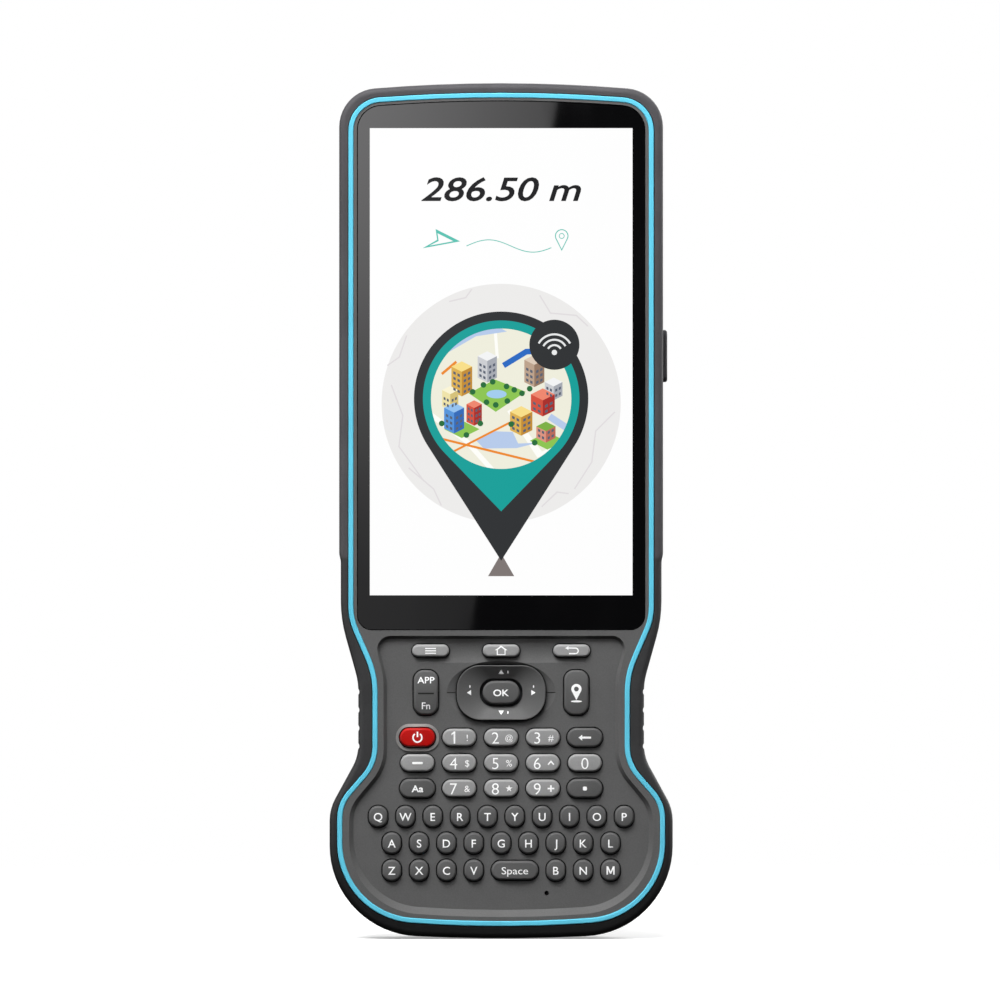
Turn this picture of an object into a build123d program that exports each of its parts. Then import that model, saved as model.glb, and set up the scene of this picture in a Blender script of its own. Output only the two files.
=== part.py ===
"""Handheld survey data collector with a large touch display, a number block and a letter keyboard.

The device stands upright on its lower end: +Z runs up its length, +X to its right and -Y out of its display.
The origin is under the middle of the lower end, half-way through the thickness.
Depths are given as levels: millimetres towards the display from the mid-plane, so a level is minus Y.
"""

import os

from build123d import *

# ---- Overall shape ---------------------------------------------------------------------------------------
# Each outline is its right half from the top corner to the bottom corner, as (x, z, corner radius).
BODY_OUTLINE = (
    (42.0, 219.6, 10.0),
    (42.0, 99.6, 5.0),  # the head's bumper is a little thicker than the grip's and ends here
    (41.6, 98.0, 5.0),
    (41.6, 82.8, 35.0),
    (37.05, 66.5, 18.0),
    (37.05, 47.2, 12.0),
    (44.5, 33.6, 12.0),
    (44.5, 2.26, 23.5),
)
BODY_RISE, BODY_DROP = 2.2, 2.26  # how far the top and bottom edges bow outwards
TRIM_OUTLINE = (
    (38.95, 216.8, 8.0),
    (38.95, 82.9, 15.0),
    (32.7, 68.4, 22.0),
    (32.7, 45.45, 11.5),
    (41.85, 34.9, 10.0),
    (41.85, 6.64, 20.0),
)
TRIM_RISE, TRIM_DROP = 1.8, 2.79
GLASS_OUTLINE = ((37.3, 215.5, 6.3), (37.3, 80.0, 3.8))
GLASS_RISE = 1.7
RECESS_RIM_OUTLINE = (
    (33.1, 78.5, 3.5),
    (30.5, 67.6, 15.0),
    (30.5, 44.6, 12.0),
    (39.4, 34.0, 9.5),
    (39.4, 8.2, 19.0),
)
RECESS_RIM_DROP = 2.6
RECESS_FLOOR_OUTLINE = (
    (32.3, 77.7, 2.7),
    (29.6, 67.2, 15.0),
    (29.6, 44.2, 12.5),
    (38.3, 33.7, 9.0),
    (38.3, 9.83, 18.0),
)
RECESS_FLOOR_DROP = 2.43

# ---- Levels through the thickness ------------------------------------------------------------------------
FRONT = 12.0  # rim of the rear housing and face of the trim
FRONT_FACE = 11.8  # front housing's outer face
GLASS_FACE, GLASS_BACK = 11.6, 10.6
PANEL_FACE, PANEL_BACK = 10.5, 8.3
FLANGE_TOP = 9.9  # the trim sits on this step of the front housing
KEYPAD_FACE, KEYPAD_BACK = 10.6, 9.1  # front housing's plate that the keys come through
CHASSIS_FACE, CHASSIS_BACK = 8.2, 6.9  # front housing's plate behind the display
SKIRT_END = 5.6
MAT_TOP, MAT_BOTTOM = 7.25, 6.65
BOARD_FACE, BOARD_BACK = 5.4, 4.2
BOSS_SPLIT = 1.0  # where the front and rear screw bosses meet
FLOOR_INSIDE, FLOOR_OUTSIDE = -7.0, -9.0
HUMP_INSIDE, BACK = -10.3, -12.0

# ---- Housings --------------------------------------------------------------------------------------------
TRIM_WIDTH, TRIM_EDGE = 1.35, 0.3
GAP = 0.1
END_SLACK = 0.01  # keeps the corners of a round-ended outline just short of meeting
FRONT_WALL, BOARD_INSET, MAT_INSET = 3.0, 3.3, 0.4
RIM_RADIUS, BACK_RADIUS = 1.5, 5.0
HUMP_WIDTH, HUMP_BOTTOM, HUMP_TOP, HUMP_CORNER = 58.6, 72.0, 212.0, 8.0
HUMP_WALL = 1.8
HUMP_EDGE = 1.6
GRIP_GROOVES, GRIP_PITCH, GRIP_CENTRE_Z = 4, 4.7, 56.9
GRIP_GROOVE_RADIUS, GRIP_GROOVE_DEPTH = 1.2, 0.28

# ---- Fasteners and the bracket pattern -------------------------------------------------------------------
SCREW_POINTS = ((33.0, 204.0), (33.0, 128.0), (29.0, 62.0), (35.0, 22.0))
SCREW_RADIUS, SCREW_HEAD_RADIUS, SCREW_HEAD_HEIGHT = 1.25, 2.2, 1.6
SCREW_SEAT, SCREW_TIP, SCREW_HEAD_EDGE = -6.3, 5.2, 0.3
SCREW_THREAD_GAP, SCREW_TIP_GAP, SCREW_HOLE_GAP, SCREW_HEAD_GAP = 0.02, 0.3, 0.15, 0.2
SCREW_SOCKET_RADIUS, SCREW_SOCKET_DEPTH = 0.9, 1.0
FRONT_BOSS_RADIUS, REAR_BOSS_RADIUS = 2.6, 3.6
BOSS_CLEARANCE_RADIUS = 3.1
BRACKET_SPACING_X, BRACKET_SPACING_Z, BRACKET_Z = 30.0, 38.0, 97.0  # a common four-hole pattern, for M4
BRACKET_HOLE_RADIUS, BRACKET_HOLE_DEPTH, BRACKET_BOSS_RADIUS, BRACKET_BOSS_CAP = 2.0, 6.0, 4.0, 1.2

# ---- Keys ------------------------------------------------------------------------------------------------
KEY_TOP = 11.85
KEY_GAP = 0.3  # between a key and its hole
KEY_EDGE = 0.7
KEY_FLANGE_TOP, KEY_FLANGE_BOTTOM = 9.0, 8.4
KEY_FLANGE_REACH = 0.75
STEM_END = 7.9
STEM_RADIUS = 1.1
KEY_FLANGE_SHARE = 0.7  # of a key's height
POWER_RING_WIDTH, POWER_RING_HEIGHT = 0.75, 0.3
NUMBER_PITCH_X, NUMBER_PITCH_Z, NUMBER_TOP_Z = 10.85, 6.6, 52.1
LETTER_PITCH_X, LETTER_ROW_Z = 7.09, (31.6, 24.7, 17.65)
SOFT_PITCH_X, SOFT_KEY_Z = 18.3, 74.6
TALL_KEY_X, NAV_Z = 19.5, 63.75
SPACE_X = 3.55

# Key sizes as (width, height, corner radius, crown radius).
LETTER_KEY = (4.9, 5.6, 2.35, 14.0)
GREY_KEY = (8.8, 4.6, 2.29, 28.0)
DARK_KEY = (9.2, 5.0, 2.49, 28.0)
SPACE_KEY = (12.2, 5.0, 2.49, 45.0)
SOFT_KEY = (9.6, 3.3, 1.64, 34.0)
TALL_KEY = (6.4, 11.7, 2.6, 30.0)

NUMBER_ROWS = (
    ("power", "digit_1", "digit_2", "digit_3", "backspace"),
    ("minus", "digit_4", "digit_5", "digit_6", "digit_0"),
    ("shift", "digit_7", "digit_8", "digit_9", "dot"),
)
DARK_NUMBER_KEYS = ("power", "backspace", "shift", "dot")
SOFT_KEYS = ("menu", "home", "back")
LETTER_ROWS = ("qwertyuiop", "asdfghjkl", "zxcv  bnm")  # the space key fills the two gaps

# ---- Pivots of the rocking key and the navigation ring ---------------------------------------------------
PIVOT_LEVEL = 8.45
PIVOT_RADIUS, PIVOT_PLAY = 0.35, 0.05
PIVOT_BLOCK_HEIGHT, PIVOT_BLOCK_LEVEL = 2.4, 8.05  # blocks under the keypad plate, slotted from behind
ROCKER_PIN_REACH, ROCKER_BLOCKS = 4.5, (3.65, 4.5)  # from the rocking key's middle
NAV_PIN_ROOT, NAV_PIN_REACH, NAV_BLOCKS = 11.75, 13.9, (12.7, 13.7)  # from the ring's middle
RING_PIN_RADIUS, RING_PIN_NECK = 0.4, 0.5
SNAP_LUG_ENDS = (3.8, 5.7)  # from the ring's middle
SNAP_LUG_WIDTH, SNAP_LUG_TOP = 2.2, 8.75  # the ring's pins snap into these lugs of the actuator

# ---- Navigation cluster ----------------------------------------------------------------------------------
NAV_SIZE, NAV_CORNER = (23.0, 14.2), 6.2
NAV_BOWL_SIZE, NAV_BOWL_CORNER = (22.5, 13.7), 5.95
NAV_HOLE_SIZE, NAV_HOLE_CORNER = (11.1, 7.3), 3.3
NAV_BOWL_LEVEL, NAV_BOTTOM = 10.25, 8.95
NAV_STEM_GAP = 0.4
NAV_CONTACT_RISE, NAV_CONTACT_REACH, ROCKER_CONTACT_RISE = 4.6, 8.0, 3.8
NAV_EDGE = 0.15
DISH_RIM, DISH_FLOOR = (14.1, 8.45), (11.6, 7.3)  # half-axes of the shallow dish around the ring
DISH_DEPTH = 0.7
SEAM_LENGTH, SEAM_WIDTH, SEAM_DEPTH = 28.2, 0.25, 0.15
OK_SIZE, OK_CORNER, OK_CROWN = (9.6, 6.1), 3.0, 32.0
OK_TOP, OK_SHOULDER = 11.6, 9.6
OK_STEM_SIZE, OK_STEM_CORNER = (7.0, 3.8), 1.5
ACTUATOR_SIZE, ACTUATOR_CORNER = (25.2, 11.6), 2.0
ACTUATOR_HOLE_SIZE, ACTUATOR_HOLE_CORNER = (8.6, 5.4), 1.8
ACTUATOR_TOP, ACTUATOR_BOTTOM = 8.35, 7.9
ACTUATOR_STEM_HOLE_RADIUS = 1.5

# ---- Small features --------------------------------------------------------------------------------------
TROUGH_WIDTH, TROUGH_DEPTH, TROUGH_Z = 6.0, 0.4, 74.5
TROUGH_LENGTH, TROUGH_SAG = 44.0, 0.8  # the sag sets how early its floor starts to rise towards the ends
MICROPHONE_X, MICROPHONE_Z, MICROPHONE_RADIUS = 11.8, 11.75, 0.6
SIDE_KEY_Z, SIDE_KEY_LENGTH, SIDE_KEY_HEIGHT = 151.2, 13.6, 3.6
SIDE_KEY_REACH, SIDE_KEY_ROUNDING = 43.25, 0.6
SIDE_KEY_FLANGE_X, SIDE_KEY_FLANGE_THICK, SIDE_KEY_FLANGE_EDGE = 39.5, 1.0, 0.9
SIDE_PLUNGER_X, SIDE_SWITCH_X = 36.4, 35.6
SIDE_SWITCH_THICK, SIDE_SWITCH_DROP, SIDE_SWITCH_LENGTH = 1.6, 5.8, 6.0
CAMERA_X, CAMERA_Z, CAMERA_RADIUS, CAMERA_DEPTH, CAMERA_BEZEL_RADIUS = 15.0, 202.0, 4.4, 10.0, 5.6
CAMERA_CORNER, BEZEL_DEPTH, WINDOW_SINK, LIGHT_GUIDE_ROOT = 0.8, 0.8, 0.3, 1.5
FLASH_X, FLASH_RADIUS = 5.0, 1.6
USB_WIDTH, USB_HEIGHT, USB_LEVEL, USB_TOP_Z = 9.0, 3.2, 2.6, 10.5
USB_GAP, USB_WALL = 0.2, 0.35
USB_TONGUE, USB_TONGUE_FOOT, USB_BASE = (6.6, 0.7), 0.8, 1.5
SPEAKER_Z, SPEAKER_SLOTS, SPEAKER_PITCH, SPEAKER_SLOT = 22.0, 5, 2.6, (12.0, 1.2)
SPEAKER_BOX, SPEAKER_ROUNDING, SPEAKER_GAP = (20.0, 8.0, 15.0), 2.0, 0.5
BATTERY_SIZE, BATTERY_Z, BATTERY_GAP, BATTERY_ROUNDING = (54.0, 7.6, 68.0), 161.0, 0.2, 2.0
DISPLAY_SIZE, DISPLAY_CORNER, DISPLAY_CENTRE_Z = (71.6, 130.0), 0.8, 148.0
GLASS_EDGE = 0.15
# Shield cans as (x, z, width, height).
SHIELDS = ((-12.0, 186.0, 34.0, 24.0), (14.0, 150.0, 26.0, 30.0), (-14.0, 148.0, 22.0, 34.0))
SHIELD_HEIGHT, SHIELD_CORNER, SHIELD_EDGE = 1.8, 1.0, 0.3
DOME_RADIUS, DOME_HEIGHT, DOME_TAPER = 1.7, 0.35, 30
PLUNGER_RADIUS = 1.0


def level(height):
    """The sketching plane at a level: its x is +X, its y is +Z and its normal points out of the display."""
    return Plane.XZ.offset(height)


def outline(corners, rise=0.0, drop=0.0):
    """A closed symmetric face from its right half's corners, with the top and bottom edges bowed outwards."""
    right = [(x, z) for x, z, _ in corners]
    left = [(-x, z) for x, z in right]
    with BuildSketch() as face:
        with BuildLine():
            for side in (right, left):
                Polyline(*side)
            for ends, bow in ((0, rise), (-1, -drop)):
                middle = (0, right[ends][1] + bow)
                if bow:
                    ThreePointArc(left[ends], middle, right[ends])
                else:
                    Line(left[ends], right[ends])
        make_face()
        for x, z, radius in corners:
            for side in (x, -x):
                fillet(face.vertices().sort_by_distance((side, z))[0], radius)
    return face.sketch


def grown(sketch, amount):
    """The same outline, moved outwards by an amount, or inwards if it is negative."""
    with BuildSketch() as face:
        add(sketch)
        offset(amount=amount, kind=Kind.ARC)
    return face.sketch


BODY = outline(BODY_OUTLINE, BODY_RISE, BODY_DROP)
TRIM = outline(TRIM_OUTLINE, TRIM_RISE, TRIM_DROP)
GLASS = outline(GLASS_OUTLINE, GLASS_RISE)
RECESS_RIM = outline(RECESS_RIM_OUTLINE, 0, RECESS_RIM_DROP)
RECESS_FLOOR = outline(RECESS_FLOOR_OUTLINE, 0, RECESS_FLOOR_DROP)


def keep(part, name):
    """Labels a finished piece and writes its STEP file."""
    part.label = name
    export_step(part, f"parts/{name}.step")


def mirrored(points):
    """Points and their mirror images across the centre line."""
    return [(side * x, z) for x, z in points for side in (1, -1)]


def key_places():
    """Every plain key as name: (x, z, size)."""
    places = {}
    for row, names in enumerate(NUMBER_ROWS):
        for column, name in enumerate(names):
            size = DARK_KEY if name in DARK_NUMBER_KEYS else GREY_KEY
            places[name] = ((column - 2) * NUMBER_PITCH_X, NUMBER_TOP_Z - row * NUMBER_PITCH_Z, size)
    for column, name in enumerate(SOFT_KEYS):
        places[name] = ((column - 1) * SOFT_PITCH_X, SOFT_KEY_Z, SOFT_KEY)
    for letters, z in zip(LETTER_ROWS, LETTER_ROW_Z):
        for column, letter in enumerate(letters):
            if letter != " ":
                x = (column - (len(letters) - 1) / 2) * LETTER_PITCH_X
                places[f"letter_{letter}"] = (x, z, LETTER_KEY)
    places["space"] = (SPACE_X, LETTER_ROW_Z[2], SPACE_KEY)
    places["locate"] = (TALL_KEY_X, NAV_Z, TALL_KEY)
    places["app_fn"] = (-TALL_KEY_X, NAV_Z, TALL_KEY)
    return places


KEYS = key_places()
# Slotted blocks that carry the pivot pins, as the x of their two faces.
PIVOT_BLOCKS = [(centre + side * near, centre + side * far)
                for centre, (near, far) in ((-TALL_KEY_X, ROCKER_BLOCKS), (0, NAV_BLOCKS))
                for side in (1, -1)]
NAV_CONTACTS = [
    (0, NAV_Z),
    (0, NAV_Z + NAV_CONTACT_RISE),
    (0, NAV_Z - NAV_CONTACT_RISE),
    (NAV_CONTACT_REACH, NAV_Z),
    (-NAV_CONTACT_REACH, NAV_Z),
]
ROCKER_CONTACTS = [(-TALL_KEY_X, NAV_Z + side * ROCKER_CONTACT_RISE) for side in (1, -1)]
CONTACTS = [(x, z) for name, (x, z, _) in KEYS.items() if name != "app_fn"] + NAV_CONTACTS + ROCKER_CONTACTS


def make_front_housing():
    """The grey front casing: display pocket, keypad recess with key holes, chassis plate and screw bosses."""
    with BuildPart() as trough:
        with BuildSketch(Plane.YZ.offset(-TROUGH_LENGTH / 2)):
            with BuildLine():
                low_edge = (-KEYPAD_FACE, TROUGH_Z - TROUGH_WIDTH / 2)
                high_edge = (-KEYPAD_FACE, TROUGH_Z + TROUGH_WIDTH / 2)
                Line(high_edge, low_edge)
                ThreePointArc(low_edge, (TROUGH_DEPTH - KEYPAD_FACE, TROUGH_Z), high_edge)
            make_face()
        extrude(amount=TROUGH_LENGTH)
        with BuildSketch(Plane.XY.offset(TROUGH_Z - TROUGH_WIDTH / 2)):
            with BuildLine():
                left_end = (-TROUGH_LENGTH / 2, -KEYPAD_FACE)
                right_end = (TROUGH_LENGTH / 2, -KEYPAD_FACE)
                Line(right_end, left_end)
                ThreePointArc(left_end, (0, TROUGH_SAG - KEYPAD_FACE), right_end)
            make_face()
        extrude(amount=TROUGH_WIDTH, mode=Mode.INTERSECT)
    with BuildPart() as housing:
        with BuildSketch(level(SKIRT_END)):
            add(grown(TRIM, TRIM_WIDTH / 2 + GAP / 2))
        extrude(amount=FLANGE_TOP - SKIRT_END)
        with BuildSketch(level(FLANGE_TOP)):
            add(grown(TRIM, -TRIM_WIDTH / 2 - GAP / 2))
        extrude(amount=FRONT_FACE - FLANGE_TOP)
        # glass pocket, then the display's well down to the chassis plate
        with BuildSketch(level(GLASS_BACK - GAP)):
            add(grown(GLASS, GAP))
        extrude(amount=FRONT_FACE - GLASS_BACK + GAP, mode=Mode.SUBTRACT)
        with BuildSketch(level(CHASSIS_FACE)):
            with Locations((0, DISPLAY_CENTRE_Z)):
                RectangleRounded(DISPLAY_SIZE[0] + 2 * GAP, DISPLAY_SIZE[1] + 2 * GAP, DISPLAY_CORNER + GAP)
        extrude(amount=GLASS_BACK - CHASSIS_FACE, mode=Mode.SUBTRACT)
        # hollow behind the chassis plate and behind the keypad plate
        with BuildSketch(level(SKIRT_END)):
            add(grown(TRIM, -FRONT_WALL))
        extrude(amount=CHASSIS_BACK - SKIRT_END, mode=Mode.SUBTRACT)
        with BuildSketch(level(SKIRT_END)):
            add(RECESS_RIM)
        extrude(amount=KEYPAD_BACK - SKIRT_END, mode=Mode.SUBTRACT)
        # sloped keypad recess
        with BuildSketch(level(KEYPAD_FACE)):
            add(RECESS_FLOOR)
        with BuildSketch(level(FRONT_FACE)):
            add(RECESS_RIM)
        loft(mode=Mode.SUBTRACT)
        # shallow trough for the soft keys
        add(trough.part, mode=Mode.SUBTRACT)
        # dish and seam around the navigation ring
        with BuildSketch(level(KEYPAD_FACE - DISH_DEPTH)):
            with Locations((0, NAV_Z)):
                Ellipse(*DISH_FLOOR)
        with BuildSketch(level(KEYPAD_FACE)):
            with Locations((0, NAV_Z)):
                Ellipse(*DISH_RIM)
        loft(mode=Mode.SUBTRACT)
        with BuildSketch(level(KEYPAD_FACE - DISH_DEPTH - SEAM_DEPTH)):
            with Locations((0, NAV_Z)):
                Rectangle(SEAM_LENGTH, SEAM_WIDTH)
        extrude(amount=DISH_DEPTH + SEAM_DEPTH, mode=Mode.SUBTRACT)
        # raised surround of the power key
        x, z, (width, height, corner, _) = KEYS["power"]
        edge = KEY_GAP + POWER_RING_WIDTH
        with BuildSketch(level(KEYPAD_FACE)):
            with Locations((x, z)):
                RectangleRounded(width + 2 * edge, height + 2 * edge, corner + edge - END_SLACK)
        extrude(amount=POWER_RING_HEIGHT)
        # openings for the keys, the ring and the microphone
        with BuildSketch(level(KEYPAD_BACK)):
            for x, z, (width, height, corner, _) in KEYS.values():
                with Locations((x, z)):
                    RectangleRounded(width + 2 * KEY_GAP, height + 2 * KEY_GAP, corner + KEY_GAP - END_SLACK)
            with Locations((0, NAV_Z)):
                RectangleRounded(NAV_SIZE[0] + 2 * KEY_GAP, NAV_SIZE[1] + 2 * KEY_GAP, NAV_CORNER + KEY_GAP)
            with Locations((MICROPHONE_X, MICROPHONE_Z)):
                Circle(MICROPHONE_RADIUS)
        extrude(amount=KEYPAD_FACE + POWER_RING_HEIGHT - KEYPAD_BACK, mode=Mode.SUBTRACT)
        # slotted pivot blocks behind the keypad plate
        for near, far in PIVOT_BLOCKS:
            middle = (near + far) / 2
            length = abs(far - near)
            with BuildSketch(level(PIVOT_BLOCK_LEVEL)):
                with Locations((middle, NAV_Z)):
                    Rectangle(length, PIVOT_BLOCK_HEIGHT)
            extrude(amount=KEYPAD_BACK - PIVOT_BLOCK_LEVEL)
            with BuildSketch(level(PIVOT_BLOCK_LEVEL)):
                with Locations((middle, NAV_Z)):
                    Rectangle(length, 2 * (PIVOT_RADIUS + PIVOT_PLAY))
            extrude(amount=PIVOT_LEVEL - PIVOT_BLOCK_LEVEL, mode=Mode.SUBTRACT)
            with Locations((middle, -PIVOT_LEVEL, NAV_Z)):
                Cylinder(PIVOT_RADIUS + PIVOT_PLAY, length, rotation=(0, 90, 0), mode=Mode.SUBTRACT)
        # screw bosses hang from the plates
        for points, plate in ((SCREW_POINTS[:2], CHASSIS_BACK), (SCREW_POINTS[2:], KEYPAD_BACK)):
            with BuildSketch(level(BOSS_SPLIT + GAP / 2)):
                with Locations(*mirrored(points)):
                    Circle(FRONT_BOSS_RADIUS)
            extrude(amount=plate + GAP - BOSS_SPLIT)
        with BuildSketch(level(BOSS_SPLIT)):
            with Locations(*mirrored(SCREW_POINTS)):
                Circle(SCREW_RADIUS + SCREW_THREAD_GAP)
        extrude(amount=SCREW_TIP + SCREW_TIP_GAP - BOSS_SPLIT, mode=Mode.SUBTRACT)
    keep(housing.part, "front_housing")


def make_rear_housing():
    """The dark rear casing and bumper: a tub with a raised back, bosses, grip grooves and ports."""
    with BuildPart() as housing:
        with BuildSketch(level(FLOOR_OUTSIDE)):
            add(BODY)
        extrude(amount=FRONT - FLOOR_OUTSIDE)
        fillet(housing.faces().sort_by(Axis.Y)[0].edges(), RIM_RADIUS)
        fillet(housing.faces().sort_by(Axis.Y)[-1].edges(), BACK_RADIUS)
        # raised back
        hump_height = HUMP_TOP - HUMP_BOTTOM
        hump_centre = (0, (HUMP_TOP + HUMP_BOTTOM) / 2)
        with BuildSketch(level(BACK)):
            with Locations(hump_centre):
                RectangleRounded(HUMP_WIDTH, hump_height, HUMP_CORNER)
        extrude(amount=FLOOR_INSIDE - BACK)
        fillet(housing.faces().sort_by(Axis.Y)[-1].edges(), HUMP_EDGE)
        # cavity
        with BuildSketch(level(FLOOR_INSIDE)):
            add(grown(TRIM, TRIM_WIDTH / 2 + 1.5 * GAP))
        extrude(amount=FRONT - FLOOR_INSIDE, mode=Mode.SUBTRACT)
        with BuildSketch(level(HUMP_INSIDE)):
            with Locations(hump_centre):
                inner = (HUMP_WIDTH - 2 * HUMP_WALL, hump_height - 2 * HUMP_WALL)
                RectangleRounded(*inner, HUMP_CORNER - HUMP_WALL)
        extrude(amount=FLOOR_INSIDE - HUMP_INSIDE, mode=Mode.SUBTRACT)
        # bosses
        with BuildSketch(level(FLOOR_INSIDE)):
            with Locations(*mirrored(SCREW_POINTS)):
                Circle(REAR_BOSS_RADIUS)
        extrude(amount=BOSS_SPLIT - GAP / 2 - FLOOR_INSIDE)
        bracket_points = GridLocations(BRACKET_SPACING_X, BRACKET_SPACING_Z, 2, 2).locations
        bracket_places = [(p.position.X, p.position.Y + BRACKET_Z) for p in bracket_points]
        with BuildSketch(level(HUMP_INSIDE)):
            with Locations(*bracket_places):
                Circle(BRACKET_BOSS_RADIUS)
        extrude(amount=BACK + BRACKET_HOLE_DEPTH + BRACKET_BOSS_CAP - HUMP_INSIDE)
        with BuildSketch(level(BACK)):
            with Locations(*bracket_places):
                Circle(BRACKET_HOLE_RADIUS)
        extrude(amount=BRACKET_HOLE_DEPTH, mode=Mode.SUBTRACT)
        # screw holes with their counterbores
        with BuildSketch(level(FLOOR_OUTSIDE)):
            with Locations(*mirrored(SCREW_POINTS)):
                Circle(SCREW_RADIUS + SCREW_HOLE_GAP)
        extrude(amount=BOSS_SPLIT - FLOOR_OUTSIDE, mode=Mode.SUBTRACT)
        with BuildSketch(level(FLOOR_OUTSIDE)):
            with Locations(*mirrored(SCREW_POINTS)):
                Circle(SCREW_HEAD_RADIUS + SCREW_HEAD_GAP)
        extrude(amount=SCREW_SEAT - FLOOR_OUTSIDE, mode=Mode.SUBTRACT)
        # camera and flash windows
        with BuildSketch(level(BACK)):
            with Locations((CAMERA_X, CAMERA_Z)):
                Circle(CAMERA_RADIUS + GAP)
            with Locations((FLASH_X, CAMERA_Z)):
                Circle(FLASH_RADIUS + GAP)
        extrude(amount=HUMP_INSIDE - BACK, mode=Mode.SUBTRACT)
        with BuildSketch(level(BACK)):
            with Locations((CAMERA_X, CAMERA_Z)):
                Circle(CAMERA_BEZEL_RADIUS)
        extrude(amount=BEZEL_DEPTH, mode=Mode.SUBTRACT)
        # speaker slots
        with BuildSketch(level(FLOOR_OUTSIDE)):
            with Locations((0, SPEAKER_Z)):
                with GridLocations(0, SPEAKER_PITCH, 1, SPEAKER_SLOTS):
                    SlotOverall(*SPEAKER_SLOT)
        extrude(amount=FLOOR_INSIDE - FLOOR_OUTSIDE, mode=Mode.SUBTRACT)
        # charging port in the lower end
        port = (USB_WIDTH + 2 * USB_GAP, USB_HEIGHT + 2 * USB_GAP)
        with BuildSketch(Plane.XY):
            with Locations((0, -USB_LEVEL)):
                RectangleRounded(*port, port[1] / 2 - END_SLACK)
        extrude(amount=USB_TOP_Z / 2, mode=Mode.SUBTRACT)
        # side key's slot
        with BuildSketch(Plane.YZ.offset(SIDE_KEY_FLANGE_X)):
            with Locations((0, SIDE_KEY_Z)):
                slot = (SIDE_KEY_HEIGHT + 2 * GAP, SIDE_KEY_LENGTH + 2 * GAP)
                RectangleRounded(*slot, SIDE_KEY_HEIGHT / 2 + GAP - END_SLACK)
        extrude(amount=SIDE_KEY_REACH - SIDE_KEY_FLANGE_X, mode=Mode.SUBTRACT)
        # grip grooves across both sides of the waist
        reach = BODY_OUTLINE[4][0] + GRIP_GROOVE_RADIUS - GRIP_GROOVE_DEPTH
        span = (GRIP_GROOVES - 1) * GRIP_PITCH
        heights = [GRIP_CENTRE_Z - span / 2 + i * GRIP_PITCH for i in range(GRIP_GROOVES)]
        with Locations(*[(side * reach, 0, z) for z in heights for side in (1, -1)]):
            Cylinder(GRIP_GROOVE_RADIUS, 2 * FRONT, rotation=(90, 0, 0), mode=Mode.SUBTRACT)
    keep(housing.part, "rear_housing")


def make_trim_ring():
    """The coloured strip between the two casings."""
    with BuildPart() as trim:
        with BuildSketch(level(FLANGE_TOP + GAP / 2)):
            add(grown(TRIM, TRIM_WIDTH / 2))
            add(grown(TRIM, -TRIM_WIDTH / 2), mode=Mode.SUBTRACT)
        extrude(amount=FRONT - FLANGE_TOP - GAP / 2)
        fillet(trim.faces().sort_by(Axis.Y)[0].edges(), TRIM_EDGE)
    keep(trim.part, "trim_ring")


def make_display_module():
    """The cover glass and the display panel that is bonded to its back, as two solids."""
    with BuildPart() as glass:
        with BuildSketch(level(GLASS_BACK)):
            add(GLASS)
        extrude(amount=GLASS_FACE - GLASS_BACK)
        chamfer(glass.faces().sort_by(Axis.Y)[0].edges(), GLASS_EDGE)
    with BuildPart() as panel:
        with BuildSketch(level(PANEL_BACK)):
            with Locations((0, DISPLAY_CENTRE_Z)):
                RectangleRounded(*DISPLAY_SIZE, DISPLAY_CORNER)
        extrude(amount=PANEL_FACE - PANEL_BACK)
    keep(Compound([glass.part.solid(), panel.part.solid()]), "display_module")


def make_keypad_mat():
    """The silicone sheet under the keys, with a plunger over each switch dome."""
    with BuildPart() as mat:
        with BuildSketch(level(MAT_BOTTOM)):
            add(grown(RECESS_RIM, -MAT_INSET))
            with Locations(*mirrored(SCREW_POINTS[2:])):
                Circle(BOSS_CLEARANCE_RADIUS, mode=Mode.SUBTRACT)
        extrude(amount=MAT_TOP - MAT_BOTTOM)
        with BuildSketch(level(BOARD_FACE + DOME_HEIGHT + GAP)):
            with Locations(*CONTACTS):
                Circle(PLUNGER_RADIUS)
        extrude(amount=MAT_BOTTOM - BOARD_FACE - DOME_HEIGHT - GAP)
    keep(mat.part, "keypad_mat")


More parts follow.
